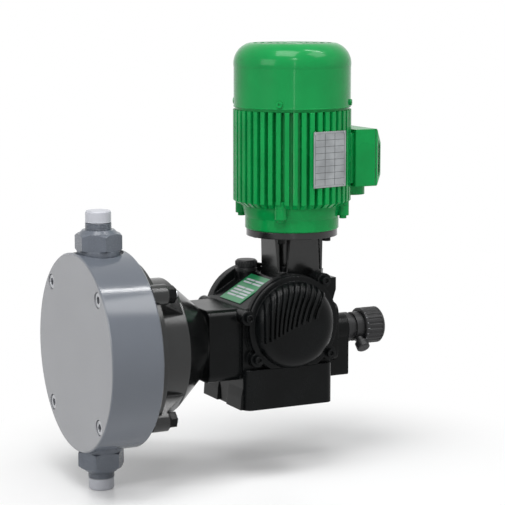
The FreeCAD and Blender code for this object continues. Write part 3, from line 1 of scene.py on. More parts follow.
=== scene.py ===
import bpy
import json
import math
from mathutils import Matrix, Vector
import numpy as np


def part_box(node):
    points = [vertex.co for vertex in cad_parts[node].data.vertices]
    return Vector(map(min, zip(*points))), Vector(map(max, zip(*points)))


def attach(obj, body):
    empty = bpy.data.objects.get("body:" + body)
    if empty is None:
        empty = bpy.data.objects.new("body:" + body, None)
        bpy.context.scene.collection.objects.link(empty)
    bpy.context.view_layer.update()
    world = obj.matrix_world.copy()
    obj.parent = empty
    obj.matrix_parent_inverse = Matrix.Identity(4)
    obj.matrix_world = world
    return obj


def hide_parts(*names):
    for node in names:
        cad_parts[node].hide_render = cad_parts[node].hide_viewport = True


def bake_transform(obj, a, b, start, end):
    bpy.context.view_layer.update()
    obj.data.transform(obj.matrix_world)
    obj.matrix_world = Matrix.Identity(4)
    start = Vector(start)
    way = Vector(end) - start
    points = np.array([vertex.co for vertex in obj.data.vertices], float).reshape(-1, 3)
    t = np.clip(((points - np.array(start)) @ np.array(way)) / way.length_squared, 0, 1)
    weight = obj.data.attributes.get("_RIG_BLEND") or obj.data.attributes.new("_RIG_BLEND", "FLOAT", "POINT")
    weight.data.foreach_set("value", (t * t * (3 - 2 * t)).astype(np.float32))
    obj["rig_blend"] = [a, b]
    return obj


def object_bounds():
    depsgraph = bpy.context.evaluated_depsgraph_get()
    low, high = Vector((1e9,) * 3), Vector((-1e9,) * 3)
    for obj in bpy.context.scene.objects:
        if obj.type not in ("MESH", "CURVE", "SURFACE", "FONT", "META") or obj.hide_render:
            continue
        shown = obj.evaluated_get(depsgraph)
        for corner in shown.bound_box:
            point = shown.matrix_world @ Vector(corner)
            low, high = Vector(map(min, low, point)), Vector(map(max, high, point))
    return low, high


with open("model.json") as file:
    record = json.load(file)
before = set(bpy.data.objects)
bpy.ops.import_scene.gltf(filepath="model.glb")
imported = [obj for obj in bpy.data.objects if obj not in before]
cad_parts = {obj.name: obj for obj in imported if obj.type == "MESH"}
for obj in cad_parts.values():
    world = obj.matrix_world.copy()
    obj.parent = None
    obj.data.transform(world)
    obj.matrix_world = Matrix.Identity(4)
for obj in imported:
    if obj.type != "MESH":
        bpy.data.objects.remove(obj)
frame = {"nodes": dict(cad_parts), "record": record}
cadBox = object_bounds()
nodes = frame["nodes"]
print("frame loaded:", len(nodes), "nodes")

bpy.ops.object.select_all(action="DESELECT")

pumpAxisZ = 0.075  # height of the head, the push rod and the stroke knob
motorAxisX = 0.035
floorZ = cadBox[0][2]
smoothAngle = 35  # degrees, past which an edge stays sharp
square = 0.9  # how nearly a face has to look along an axis to be picked
edgeSamples = 4  # rays that soften an edge in the shader
ringSides = 10  # corners round the thickness of a ring
shadeSpan = (0.35, 0.65)  # noise values where the darker shade ends and the lighter one starts


def startFinish(name, base, metal, rough):  # a plain finish, and Object coordinates for patterns
    mat = bpy.data.materials.new(name)
    mat.use_nodes = True
    tree = mat.node_tree
    shader = tree.nodes["Principled BSDF"]
    shader.inputs["Base Color"].default_value = (*base, 1)
    shader.inputs["Metallic"].default_value = metal
    shader.inputs["Roughness"].default_value = rough
    coords = tree.nodes.new("ShaderNodeTexCoord")
    return mat, tree, shader, coords.outputs["Object"]


def addNoise(tree, coords, scale, detail, stretch=(1, 1, 1)):
    mapping = tree.nodes.new("ShaderNodeMapping")
    mapping.inputs["Scale"].default_value = stretch
    tree.links.new(coords, mapping.inputs["Vector"])
    noise = tree.nodes.new("ShaderNodeTexNoise")
    noise.inputs["Scale"].default_value = scale
    noise.inputs["Detail"].default_value = detail
    tree.links.new(mapping.outputs["Vector"], noise.inputs["Vector"])
    return noise.outputs["Fac"]


def tint(colour, factor):
    return tuple(min(1.0, c * factor) for c in colour)


def addShades(tree, factor, colour, dark, light):  # from a darker to a lighter shade of one colour
    ramp = tree.nodes.new("ShaderNodeValToRGB")
    low, high = ramp.color_ramp.elements[0], ramp.color_ramp.elements[1]
    low.position, high.position = shadeSpan
    low.color = (*tint(colour, dark), 1)
    high.color = (*tint(colour, light), 1)
    tree.links.new(factor, ramp.inputs["Fac"])
    return ramp.outputs["Color"]


def addRange(tree, factor, low, high):
    remap = tree.nodes.new("ShaderNodeMapRange")
    remap.inputs["To Min"].default_value = low
    remap.inputs["To Max"].default_value = high
    tree.links.new(factor, remap.inputs["Value"])
    return remap.outputs["Result"]


def addMix(tree, factor, first, second):
    mix = tree.nodes.new("ShaderNodeMixRGB")
    tree.links.new(factor, mix.inputs["Fac"])
    tree.links.new(first, mix.inputs["Color1"])
    tree.links.new(second, mix.inputs["Color2"])
    return mix.outputs["Color"]


def addBump(tree, shader, height, strength, distance, rounding):
    bump = tree.nodes.new("ShaderNodeBump")
    bump.inputs["Strength"].default_value = strength
    bump.inputs["Distance"].default_value = distance
    tree.links.new(height, bump.inputs["Height"])
    if rounding:  # softened edges, as on a casting or a moulding
        soften = tree.nodes.new("ShaderNodeBevel")
        soften.samples = edgeSamples
        soften.inputs["Radius"].default_value = rounding
        tree.links.new(soften.outputs["Normal"], bump.inputs["Normal"])
    tree.links.new(bump.outputs["Normal"], shader.inputs["Normal"])


enamelCoat = {"cloudDetail": 3, "peelDetail": 2, "peelHeight": 0.0002,
              "smoother": 0.05, "rougher": 0.07}


def enamel(name, look):  # sprayed paint with a faint orange peel
    coat = enamelCoat
    mat, tree, shader, coords = startFinish(name, look["colour"], 0.0, look["rough"])
    cloud = addNoise(tree, coords, look["cloudScale"], coat["cloudDetail"])
    shade = addShades(tree, cloud, look["colour"], look["dark"], look["light"])
    tree.links.new(shade, shader.inputs["Base Color"])
    gloss = addRange(tree, cloud, look["rough"] - coat["smoother"], look["rough"] + coat["rougher"])
    tree.links.new(gloss, shader.inputs["Roughness"])
    shader.inputs["Specular IOR Level"].default_value = look["sheen"]
    shader.inputs["Coat Weight"].default_value = look["coat"]
    shader.inputs["Coat Roughness"].default_value = look["coatRough"]
    peel = addNoise(tree, coords, look["peelScale"], coat["peelDetail"])
    addBump(tree, shader, peel, look["peel"], coat["peelHeight"], look["rounding"])
    return mat


mouldedSkin = {"cloudDetail": 4, "grainDetail": 3, "grainHeight": 0.00015,
               "smoother": 0.06, "rougher": 0.08}


def plastic(name, look):  # moulded plastic, rubber or ceramic with a fine grain
    skin = mouldedSkin
    mat, tree, shader, coords = startFinish(name, look["colour"], 0.0, look["rough"])
    cloud = addNoise(tree, coords, look["cloudScale"], skin["cloudDetail"])
    shade = addShades(tree, cloud, look["colour"], 1 - look["vary"], 1 + look["vary"])
    tree.links.new(shade, shader.inputs["Base Color"])
    grain = addNoise(tree, coords, look["grainScale"], skin["grainDetail"])
    gloss = addRange(tree, grain, look["rough"] - skin["smoother"], look["rough"] + skin["rougher"])
    tree.links.new(gloss, shader.inputs["Roughness"])
    shader.inputs["Specular IOR Level"].default_value = look["sheen"]
    addBump(tree, shader, grain, look["grain"], skin["grainHeight"], look["rounding"])
    return mat


machinedSkin = {"cloudDetail": 4, "lineDetail": 3, "lineHeight": 0.0001,
                "dark": 0.82, "light": 1.1, "smoother": 0.08, "rougher": 0.12}


def metalFinish(name, look):  # bare metal with the fine lines that its tool left
    skin = machinedSkin
    mat, tree, shader, coords = startFinish(name, look["colour"], 1.0, look["rough"])
    cloud = addNoise(tree, coords, look["cloudScale"], skin["cloudDetail"])
    shade = addShades(tree, cloud, look["colour"], skin["dark"], skin["light"])
    tree.links.new(shade, shader.inputs["Base Color"])
    lines = addNoise(tree, coords, look["lineScale"], skin["lineDetail"], look["stretch"])
    gloss = addRange(tree, lines, look["rough"] - skin["smoother"], look["rough"] + skin["rougher"])
    tree.links.new(gloss, shader.inputs["Roughness"])
    addBump(tree, shader, lines, look["depth"], skin["lineHeight"], look["rounding"])
    return mat


# The rim colour is painted shade and reflection, darker and bluer than the face colour of the same plastic.
headLook = {"colour": (0.276, 0.281, 0.297), "rimPaintedShade": (0.116, 0.129, 0.153), "vary": 0.03,
            "rimStart": 0.1105, "rimEnd": 0.1120, "cloudScale": 14, "cloudDetail": 4,
            "rough": 0.27, "smoother": 0.05, "rougher": 0.06, "sheen": 0.50,
            "rimRough": 0.15, "rimWear": 0.03, "ringScale": 320.0, "ringWaver": 1.5,
            "ringDetail": 2, "ringDepth": 0.05, "ringHeight": 0.0001, "rounding": 0.0012}


def turnedPlastic(name, look):  # turning rings about the pump axis, and a smoother rim with painted shade, a darker bluish colour standing in for the dark surroundings that it reflects
    mat, tree, shader, coords = startFinish(name, look["colour"], 0.0, look["rough"])
    centre = tree.nodes.new("ShaderNodeMapping")
    centre.inputs["Location"].default_value = (0, 0, -pumpAxisZ)
    tree.links.new(coords, centre.inputs["Vector"])
    rings = tree.nodes.new("ShaderNodeTexWave")
    rings.wave_type = "RINGS"
    rings.rings_direction = "X"
    rings.inputs["Scale"].default_value = look["ringScale"]
    rings.inputs["Distortion"].default_value = look["ringWaver"]
    rings.inputs["Detail"].default_value = look["ringDetail"]
    tree.links.new(centre.outputs["Vector"], rings.inputs["Vector"])
    cloud = addNoise(tree, coords, look["cloudScale"], look["cloudDetail"])
    face = addShades(tree, cloud, look["colour"], 1 - look["vary"], 1 + look["vary"])
    # Painted shade: past rimStart the darker, bluer rim colour takes over from the face colour.
    rim = addShades(tree, cloud, look["rimPaintedShade"], 1 - look["vary"], 1 + look["vary"])
    flat = tree.nodes.new("ShaderNodeVectorMath")
    flat.operation = "MULTIPLY"
    flat.inputs[1].default_value = (0, 1, 1)
    tree.links.new(centre.outputs["Vector"], flat.inputs[0])
    reach = tree.nodes.new("ShaderNodeVectorMath")
    reach.operation = "LENGTH"
    tree.links.new(flat.outputs["Vector"], reach.inputs[0])
    edge = tree.nodes.new("ShaderNodeMapRange")
    edge.inputs["From Min"].default_value = look["rimStart"]
    edge.inputs["From Max"].default_value = look["rimEnd"]
    tree.links.new(reach.outputs["Value"], edge.inputs["Value"])
    shade = addMix(tree, edge.outputs["Result"], face, rim)
    tree.links.new(shade, shader.inputs["Base Color"])
    shader.inputs["Specular IOR Level"].default_value = look["sheen"]
    smooth, rough = look["rough"] - look["smoother"], look["rough"] + look["rougher"]
    turned = addRange(tree, rings.outputs["Fac"], smooth, rough)
    worn = addRange(tree, cloud, look["rimRough"] - look["rimWear"], look["rimRough"] + look["rimWear"])
    gloss = addMix(tree, edge.outputs["Result"], turned, worn)
    tree.links.new(gloss, shader.inputs["Roughness"])
    addBump(tree, shader, rings.outputs["Fac"], look["ringDepth"], look["ringHeight"],
            look["rounding"])
    return mat


finishes = {
    "grey_pvc": turnedPlastic("greyPlasticTurned", headLook),
    "dark_fitting": plastic("fittingPlastic", {
        "colour": (0.120, 0.135, 0.162), "vary": 0.10, "cloudScale": 40,
        "rough": 0.25, "sheen": 0.40, "grainScale": 900, "grain": 0.15, "rounding": 0.0012}),
    "white_cap": plastic("capPlastic", {
        "colour": (0.46, 0.47, 0.51), "vary": 0.03, "cloudScale": 60,
        "rough": 0.35, "sheen": 0.5, "grainScale": 700, "grain": 0.12, "rounding": 0.0008}),
    "black_paint": enamel("blackEnamel", {
        "colour": (0.0025, 0.003, 0.0032), "dark": 0.75, "light": 1.4, "cloudScale": 30,
        "rough": 0.24, "sheen": 0.12, "coat": 0.0, "coatRough": 0.14,
        "peelScale": 330, "peel": 0.30, "rounding": 0.0022}),
    # A lighter, glossier copy of the black paint: its lighter base colour is painted light on the front
    # bracket and the lantern.
    "bracket_paint_painted_light": enamel("blackEnamelPaintedLight", {
        "colour": (0.007, 0.0075, 0.0075), "dark": 0.75, "light": 1.3, "cloudScale": 30,
        "rough": 0.20, "sheen": 0.50, "coat": 0.0, "coatRough": 0.14,
        "peelScale": 300, "peel": 0.25, "rounding": 0.0022}),
    # A darker copy of the green paint for the fan cover: its darker base colour is painted shade, and the
    # smoother coat is the pressed sheet's own.
    "cowl_paint_painted_shade": enamel("greenEnamelSmoothPaintedShade", {
        "colour": (0.003, 0.246, 0.055), "dark": 0.93, "light": 1.07, "cloudScale": 22,
        "rough": 0.22, "sheen": 0.10, "coat": 0.20, "coatRough": 0.04,
        "peelScale": 360, "peel": 0.08, "rounding": 0.0016}),
    "green_paint": enamel("greenEnamel", {
        "colour": (0.002, 0.275, 0.060), "dark": 0.90, "light": 1.10, "cloudScale": 22,
        "rough": 0.26, "sheen": 0.08, "coat": 0.16, "coatRough": 0.05,
        "peelScale": 360, "peel": 0.12, "rounding": 0.0016}),
    "black_plastic": plastic("blackPlastic", {
        "colour": (0.018, 0.018, 0.019), "vary": 0.2, "cloudScale": 50,
        "rough": 0.42, "sheen": 0.30, "grainScale": 1200, "grain": 0.30, "rounding": 0.0008}),
    "steel": metalFinish("turnedSteel", {
        "colour": (0.55, 0.56, 0.58), "cloudScale": 60, "rough": 0.28,
        "lineScale": 900, "stretch": (1, 1, 0.1), "depth": 0.10, "rounding": 0.0003}),
    "zinc": metalFinish("zincPlate", {
        "colour": (0.50, 0.51, 0.53), "cloudScale": 200, "rough": 0.34,
        "lineScale": 1500, "stretch": (1, 1, 1), "depth": 0.12, "rounding": 0.0004}),
    "bronze": metalFinish("bearingBronze", {
        "colour": (0.62, 0.42, 0.18), "cloudScale": 70, "rough": 0.30,
        "lineScale": 1100, "stretch": (1, 0.2, 1), "depth": 0.12, "rounding": 0.0003}),
    "rubber": plastic("sealRubber", {
        "colour": (0.018, 0.018, 0.018), "vary": 0.2, "cloudScale": 90,
        "rough": 0.6, "sheen": 0.5, "grainScale": 1500, "grain": 0.3, "rounding": 0.0004}),
    "ptfe": plastic("diaphragmWhite", {
        "colour": (0.72, 0.72, 0.70), "vary": 0.03, "cloudScale": 40,
        "rough": 0.5, "sheen": 0.5, "grainScale": 800, "grain": 0.1, "rounding": 0.0006}),
    "ceramic": plastic("ballCeramic", {
        "colour": (0.74, 0.72, 0.66), "vary": 0.03, "cloudScale": 120,
        "rough": 0.12, "sheen": 0.5, "grainScale": 600, "grain": 0.03, "rounding": 0.0}),
    "copper": metalFinish("windingCopper", {
        "colour": (0.60, 0.26, 0.11), "cloudScale": 80, "rough": 0.38,
        "lineScale": 700, "stretch": (1, 1, 4), "depth": 0.6, "rounding": 0.0006}),
    "aluminium": metalFinish("satinAluminium", {
        "colour": (0.33, 0.345, 0.355), "cloudScale": 50, "rough": 0.36,
        "lineScale": 1300, "stretch": (1, 1, 0.15), "depth": 0.10, "rounding": 0.0004}),
    "plate_print": enamel("labelGreen", {
        "colour": (0.01, 0.20, 0.07), "dark": 0.95, "light": 1.05, "cloudScale": 60,
        "rough": 0.30, "sheen": 0.30, "coat": 0.3, "coatRough": 0.15,
        "peelScale": 700, "peel": 0.05, "rounding": 0.0004}),
    "spider": plastic("spiderRed", {
        "colour": (0.52, 0.07, 0.03), "vary": 0.08, "cloudScale": 60,
        "rough": 0.5, "sheen": 0.5, "grainScale": 900, "grain": 0.2, "rounding": 0.0006}),
}


def paint(node, finish):
    nodes[node].data.materials.clear()
    nodes[node].data.materials.append(finish)


for entry in frame["record"]["subparts"]:
    paint(entry["node"], finishes[entry["material_slot"]])
paint("front_bracket", finishes["bracket_paint_painted_light"])  # the two castings in a glossier copy of the black paint, its lighter base colour painted light
paint("lantern", finishes["bracket_paint_painted_light"])
paint("fan_cover", finishes["cowl_paint_painted_shade"])  # pressed sheet, smoother than the castings, in a darker copy of the green paint: painted shade
print("finishes given to the frame nodes:", len(finishes))


def letGo():  # back to object mode with nothing selected
    if bpy.context.mode != "OBJECT":
        bpy.ops.object.mode_set(mode="OBJECT")
    bpy.ops.object.select_all(action="DESELECT")


def pickFaces(piece, test):  # leaves the piece in edit mode with the wanted faces selected
    letGo()
    piece.select_set(True)
    bpy.context.view_layer.objects.active = piece
    bpy.context.tool_settings.mesh_select_mode = (False, False, True)
    bpy.ops.object.mode_set(mode="EDIT")
    bpy.ops.mesh.select_all(action="DESELECT")
    bpy.ops.object.mode_set(mode="OBJECT")
    for face in piece.data.polygons:
        face.select = test(face)
    bpy.ops.object.mode_set(mode="EDIT")


def joined(pieces):  # one object from a list of them
    letGo()
    for piece in pieces:
        piece.select_set(True)
    bpy.context.view_layer.objects.active = pieces[0]
    if len(pieces) > 1:
        bpy.ops.object.join()
    return bpy.context.view_layer.objects.active


def spread(source, spots):  # copies of a piece modelled along +Z, each with a place and a direction
    copies = []
    for place, facing, up in spots:
        copy = source.copy()
        copy.data = source.data.copy()
        bpy.context.collection.objects.link(copy)
        copy.location = place
        copy.rotation_euler = Vector(facing).to_track_quat("Z", up).to_euler()
        copies.append(copy)
    bpy.data.objects.remove(source, do_unlink=True)
    return joined(copies)


def wallFrom(piece, thickness, side):  # gives an open sheet its thickness
    wall = piece.modifiers.new("wall", "SOLIDIFY")
    wall.thickness = thickness
    wall.offset = side
    bpy.ops.object.modifier_apply(modifier="wall")


def finishPiece(piece, name, body, slot, angle=smoothAngle):  # name, finish and body of a small piece
    letGo()
    piece.select_set(True)
    bpy.context.view_layer.objects.active = piece
    bpy.ops.object.transform_apply(location=True, rotation=True, scale=True)
    bpy.ops.object.mode_set(mode="EDIT")
    bpy.ops.mesh.select_all(action="SELECT")
    bpy.ops.mesh.normals_make_consistent(inside=False)
    bpy.ops.object.mode_set(mode="OBJECT")
    bpy.ops.object.shade_smooth_by_angle(angle=math.radians(angle))
    piece.name = name
    piece.data.materials.clear()
    piece.data.materials.append(finishes[slot])
    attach(piece, body)
    letGo()


screwLook = {"radius": 0.0033, "height": 0.0016, "socket": 0.0019, "depth": 0.0011, "edge": 0.0005,
             "sides": 28, "edgeSteps": 3, "topLevel": 0.95, "topSquare": 0.99}


def panScrew(look):  # a low screw head with a rounded edge and a socket
    bpy.ops.mesh.primitive_cylinder_add(vertices=look["sides"], radius=look["radius"],
                                        depth=look["height"], location=(0, 0, look["height"] / 2))
    screw = bpy.context.object
    bpy.ops.object.transform_apply(location=True, rotation=True, scale=True)
    pickFaces(screw, lambda face: face.normal.z > square)
    bpy.ops.mesh.bevel(offset=look["edge"], segments=look["edgeSteps"], affect="EDGES")
    topHeight = look["height"] * look["topLevel"]
    pickFaces(screw, lambda face: face.normal.z > look["topSquare"] and face.center.z > topHeight)
    bpy.ops.mesh.inset(thickness=look["radius"] - look["edge"] - look["socket"])
    bpy.ops.mesh.extrude_region_move(TRANSFORM_OT_translate={"value": (0, 0, -look["depth"])})
    bpy.ops.object.mode_set(mode="OBJECT")
    return screw


boxLook = {"face": 0.139, "seam": 0.126, "low": 0.249, "high": 0.316, "half": 0.038,
           "screwHeights": (0.2675, 0.2920), "screwSide": 0.0195,
           "gasketWidth": 0.0005, "gasketProud": 0.00005, "gasketWall": 0.0006}


def makeLidScrews(look):
    spots = [((look["face"], side * look["screwSide"], height), (1, 0, 0), "Y")
             for side in (-1, 1) for height in look["screwHeights"]]
    finishPiece(spread(panScrew(screwLook), spots), "lidScrews", "housing", "green_paint")


makeLidScrews(boxLook)


def makeLidGasket(look):  # the rubber lip that shows between the terminal box and its lid
    middle = (look["low"] + look["high"]) / 2
    bpy.ops.mesh.primitive_cube_add(size=1, location=(look["seam"], 0, middle))
    gasket = bpy.context.object
    gasket.scale = (look["gasketWidth"], 2 * (look["half"] + look["gasketProud"]),
                    look["high"] - look["low"] + 2 * look["gasketProud"])
    bpy.ops.object.transform_apply(location=True, rotation=True, scale=True)
    pickFaces(gasket, lambda face: abs(face.normal.x) > square)
    bpy.ops.mesh.delete(type="FACE")
    bpy.ops.object.mode_set(mode="OBJECT")
    wallFrom(gasket, look["gasketWall"], -1)
    finishPiece(gasket, "lidGasket", "housing", "rubber")


makeLidGasket(boxLook)

plateLook = {"angle": -79.0, "reach": 0.069, "height": 0.286, "width": 0.0475, "tall": 0.064,
             "margin": 0.0022, "rows": 8, "columns": 3, "line": 0.00035, "proud": 0.00012,
             "rivetInset": 0.0024, "angleKept": 20}
rivetLook = dict(screwLook, radius=0.0013, height=0.0006, socket=0.0004, depth=0.0001, edge=0.0003)


def plateCentre(look):  # the middle of the plate's face, and the way that it faces
    turn = math.radians(look["angle"])
    outward = Vector((math.cos(turn), math.sin(turn), 0))
    return Vector((motorAxisX, 0, look["height"])) + outward * look["reach"], outward


def makeNameplateLines(look):  # ruled fields, left blank
    centre, outward = plateCentre(look)
    bpy.ops.mesh.primitive_grid_add(size=1, x_subdivisions=look["columns"],
                                    y_subdivisions=look["rows"])
    lines = bpy.context.object
    lines.scale = (look["width"] - 2 * look["margin"], look["tall"] - 2 * look["margin"], 1)
    bpy.ops.object.transform_apply(location=True, rotation=True, scale=True)
    pickFaces(lines, lambda face: True)
    bpy.ops.mesh.inset(thickness=look["line"] / 2, use_individual=True, use_boundary=True)
    bpy.ops.mesh.delete(type="FACE")
    bpy.ops.object.mode_set(mode="OBJECT")
    wallFrom(lines, look["proud"], 1)
    placed = spread(lines, [(centre, outward, "Y")])
    finishPiece(placed, "nameplateLines", "housing", "black_plastic", angle=look["angleKept"])


def makeNameplateRivets(look):
    centre, outward = plateCentre(look)
    across = Vector((-outward.y, outward.x, 0)) * (look["width"] / 2 - look["rivetInset"])
    upward = Vector((0, 0, look["tall"] / 2 - look["rivetInset"]))
    spots = [(centre + across * side + upward * rise, outward, "Y")
             for side in (-1, 1) for rise in (-1, 1)]
    finishPiece(spread(panScrew(rivetLook), spots), "nameplateRivets", "housing", "aluminium")


makeNameplateLines(plateLook)
makeNameplateRivets(plateLook)

labelLook = {"middle": (-0.0255, 0, 0.1315), "rise": 30.62, "top": 0.00101,
             "length": 0.048, "width": 0.052, "lengthUsed": 0.92, "widthUsed": 0.86,
             "rows": 9, "rowsShown": (1, 2, 3, 4, 6, 7), "columns": 2, "gap": 0.0010,
             "proud": 0.00008, "angleKept": 20}


def makeLabelBars(look):  # pale blank fields on the green label
    length = look["length"] * look["lengthUsed"]
    step = length / look["rows"]
    bpy.ops.mesh.primitive_grid_add(size=1, x_subdivisions=look["rows"],
                                    y_subdivisions=look["columns"])
    bars = bpy.context.object
    bars.scale = (length, look["width"] * look["widthUsed"], 1)
    bpy.ops.object.transform_apply(location=True, rotation=True, scale=True)
    pickFaces(bars, lambda face: int((face.center.x + length / 2) / step) not in look["rowsShown"])
    bpy.ops.mesh.delete(type="FACE")
    pickFaces(bars, lambda face: True)
    bpy.ops.mesh.inset(thickness=look["gap"], use_individual=True, use_boundary=True)
    bpy.ops.mesh.select_all(action="INVERT")
    bpy.ops.mesh.delete(type="FACE")
    bpy.ops.object.mode_set(mode="OBJECT")
    wallFrom(bars, look["proud"], 1)
    turn = math.radians(look["rise"])
    outward = Vector((-math.sin(turn), 0, math.cos(turn)))
    bars.rotation_euler = (0, -turn, 0)
    bars.location = Vector(look["middle"]) + outward * look["top"]
    finishPiece(bars, "labelFields", "housing", "white_cap", angle=look["angleKept"])


makeLabelBars(labelLook)


def turnsRound(count):  # equal steps round a circle, in radians
    return [2 * math.pi * k / count for k in range(count)]


gripLook = {"centre": (-0.005, 0.040), "radius": 0.0124, "low": 0.1532, "high": 0.1582, "count": 22,
            "rib": 0.0010, "ribSides": 10, "ribEdge": 0.00045, "edgeSteps": 2}


def makePlugGrip(look):  # moulded ribs round the filler plug
    bpy.ops.mesh.primitive_cylinder_add(vertices=look["ribSides"], radius=look["rib"],
                                        depth=look["high"] - look["low"])
    rib = bpy.context.object
    bpy.ops.object.transform_apply(location=True, rotation=True, scale=True)
    pickFaces(rib, lambda face: abs(face.normal.z) > square)
    bpy.ops.mesh.bevel(offset=look["ribEdge"], segments=look["edgeSteps"], affect="EDGES")
    bpy.ops.object.mode_set(mode="OBJECT")
    middle = Vector((*look["centre"], (look["low"] + look["high"]) / 2))
    spots = [(middle + look["radius"] * Vector((math.cos(turn), math.sin(turn), 0)), (0, 0, 1), "Y")
             for turn in turnsRound(look["count"])]
    finishPiece(spread(rib, spots), "plugGrip", "housing", "black_plastic")


makePlugGrip(gripLook)


def ring(radius, thick, place, around):
    bpy.ops.mesh.primitive_torus_add(major_radius=radius, minor_radius=thick, major_segments=around,
                                     minor_segments=ringSides, location=place)
    return bpy.context.object


hemLook = {"radius": 0.0677, "thick": 0.0009, "height": 0.3438, "around": 128}


def makeCowlHem(look):  # the rolled edge of the fan cover
    hem = ring(look["radius"], look["thick"], (motorAxisX, 0, look["height"]), look["around"])
    finishPiece(hem, "cowlHem", "housing", "green_paint")


makeCowlHem(hemLook)

# Heights count from the pump axis, up at the discharge side and down at the suction side.
neckLook = {"x": -0.2095, "around": 64, "radius": 0.0144, "thick": 0.0005,
            "heights": (0.1393, 0.1410, 0.1427, 0.1444),
            "lipRadius": 0.0143, "lipThick": 0.0005, "lipHeight": 0.1466}


def neckRing(look, height, radius, thick):
    return ring(radius, thick, (look["x"], 0, pumpAxisZ + height), look["around"])


def makeNeckThreads(look):  # thread turns on both port necks, and a lip round each cap
    for name, side in (("dischargeNeckThread", 1), ("suctionNeckThread", -1)):
        turns = [neckRing(look, side * height, look["radius"], look["thick"])
                 for height in look["heights"]]
        finishPiece(joined(turns), name, "housing", "dark_fitting")
    for name, side, cap in (("dischargeCapLip", 1, "discharge_cap"),
                            ("suctionCapLip", -1, "suction_cap")):
        lip = neckRing(look, side * look["lipHeight"], look["lipRadius"], look["lipThick"])
        finishPiece(lip, name, cap, "white_cap")


makeNeckThreads(neckLook)

tickLook = {"count": 20, "start": 0.1275, "end": 0.1295, "radius": 0.0218, "width": 0.0006,
            "proud": 0.0001, "longEvery": 5, "longer": 0.0012, "corner": 0.2, "edgeSteps": 2,
            "markStart": 0.1212, "markEnd": 0.1254, "markRadius": 0.0175, "markWidth": 0.00084}


def slimBar(look, start, end, width):  # a thin printed line along X, half sunk in the face below it
    bpy.ops.mesh.primitive_cube_add(size=1, location=((start + end) / 2, 0, 0))
    bar = bpy.context.object
    bar.scale = (end - start, width, 2 * look["proud"])
    bpy.ops.object.transform_apply(location=True, rotation=True, scale=True)
    pickFaces(bar, lambda face: face.normal.z > square)
    bpy.ops.mesh.bevel(offset=width * look["corner"], segments=look["edgeSteps"], affect="EDGES")
    bpy.ops.object.mode_set(mode="OBJECT")
    return bar


def makeStrokeScale(look):  # ticks round the stroke knob, and the fixed mark beside them
    bars = []
    for k, turn in enumerate(turnsRound(look["count"])):
        end = look["end"] + (look["longer"] if k % look["longEvery"] == 0 else 0)
        bar = slimBar(look, look["start"], end, look["width"])
        across, up = -look["radius"] * math.sin(turn), look["radius"] * math.cos(turn)
        bar.rotation_euler = (turn, 0, 0)
        bar.location = (0, across, pumpAxisZ + up)
        bars.append(bar)
    finishPiece(joined(bars), "knobScale", "knob", "white_cap")
    mark = slimBar(look, look["markStart"], look["markEnd"], look["markWidth"])
    mark.location = (0, 0, pumpAxisZ + look["markRadius"])
    finishPiece(mark, "scaleMark", "housing", "white_cap")


makeStrokeScale(tickLook)
print("small pieces made")


# The return spring stretches along its length. The diaphragm stays with the housing outside the
# radius "still", moves with the rod inside the radius "moving", and bends between the two.
flexLooks = [
    {"name": "springCoil", "node": "return_spring", "slot": "steel"},
    {"name": "diaphragmDisc", "node": "diaphragm", "slot": "ptfe", "still": 0.066, "moving": 0.042},
]
weldReach = 0.000002  # corners of the CAD mesh nearer than this are one corner


def makeFlexible(look):  # a copy of a CAD piece that stretches between the housing and the rod
    letGo()
    piece = bpy.data.objects.new(look["name"], nodes[look["node"]].data.copy())
    bpy.context.collection.objects.link(piece)
    piece.select_set(True)
    bpy.context.view_layer.objects.active = piece
    bpy.ops.object.mode_set(mode="EDIT")
    bpy.ops.mesh.select_all(action="SELECT")
    bpy.ops.mesh.remove_doubles(threshold=weldReach)
    bpy.ops.mesh.normals_make_consistent(inside=False)
    bpy.ops.object.mode_set(mode="OBJECT")
    bpy.ops.object.shade_smooth_by_angle(angle=math.radians(smoothAngle))
    low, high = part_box(look["node"])
    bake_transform(piece, "housing", "rod", start=(low.x, 0, pumpAxisZ), end=(high.x, 0, pumpAxisZ))
    if "still" in look:
        shares = piece.data.attributes["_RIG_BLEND"].data
        for point, share in zip(piece.data.vertices, shares):
            reach = math.hypot(point.co.y, point.co.z - pumpAxisZ)
            bend = min(max((look["still"] - reach) / (look["still"] - look["moving"]), 0.0), 1.0)
            share.value = bend * bend * (3 - 2 * bend)  # eased at both ends
    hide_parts(look["node"])


for flexLook in flexLooks:
    makeFlexible(flexLook)
print("spring and diaphragm made flexible")


def whiteRays(tree):  # 1 for rays from the camera, from gloss and through clear material
    path = tree.nodes.new("ShaderNodeLightPath")
    seen = path.outputs["Is Camera Ray"]
    for kind in ("Is Glossy Ray", "Is Transmission Ray"):
        either = tree.nodes.new("ShaderNodeMath")
        either.operation = "MAXIMUM"
        tree.links.new(seen, either.inputs[0])
        tree.links.new(path.outputs[kind], either.inputs[1])
        seen = either.outputs["Value"]
    return seen


floorLook = {"size": 12.0, "drop": 0.0005, "colour": (0.90, 0.90, 0.90), "rough": 0.32,
             "vary": 0.01, "mistScale": 3, "mistDetail": 2,
             "fadeStart": 0.19, "fadeEnd": 0.42, "nearGlow": 0.10}


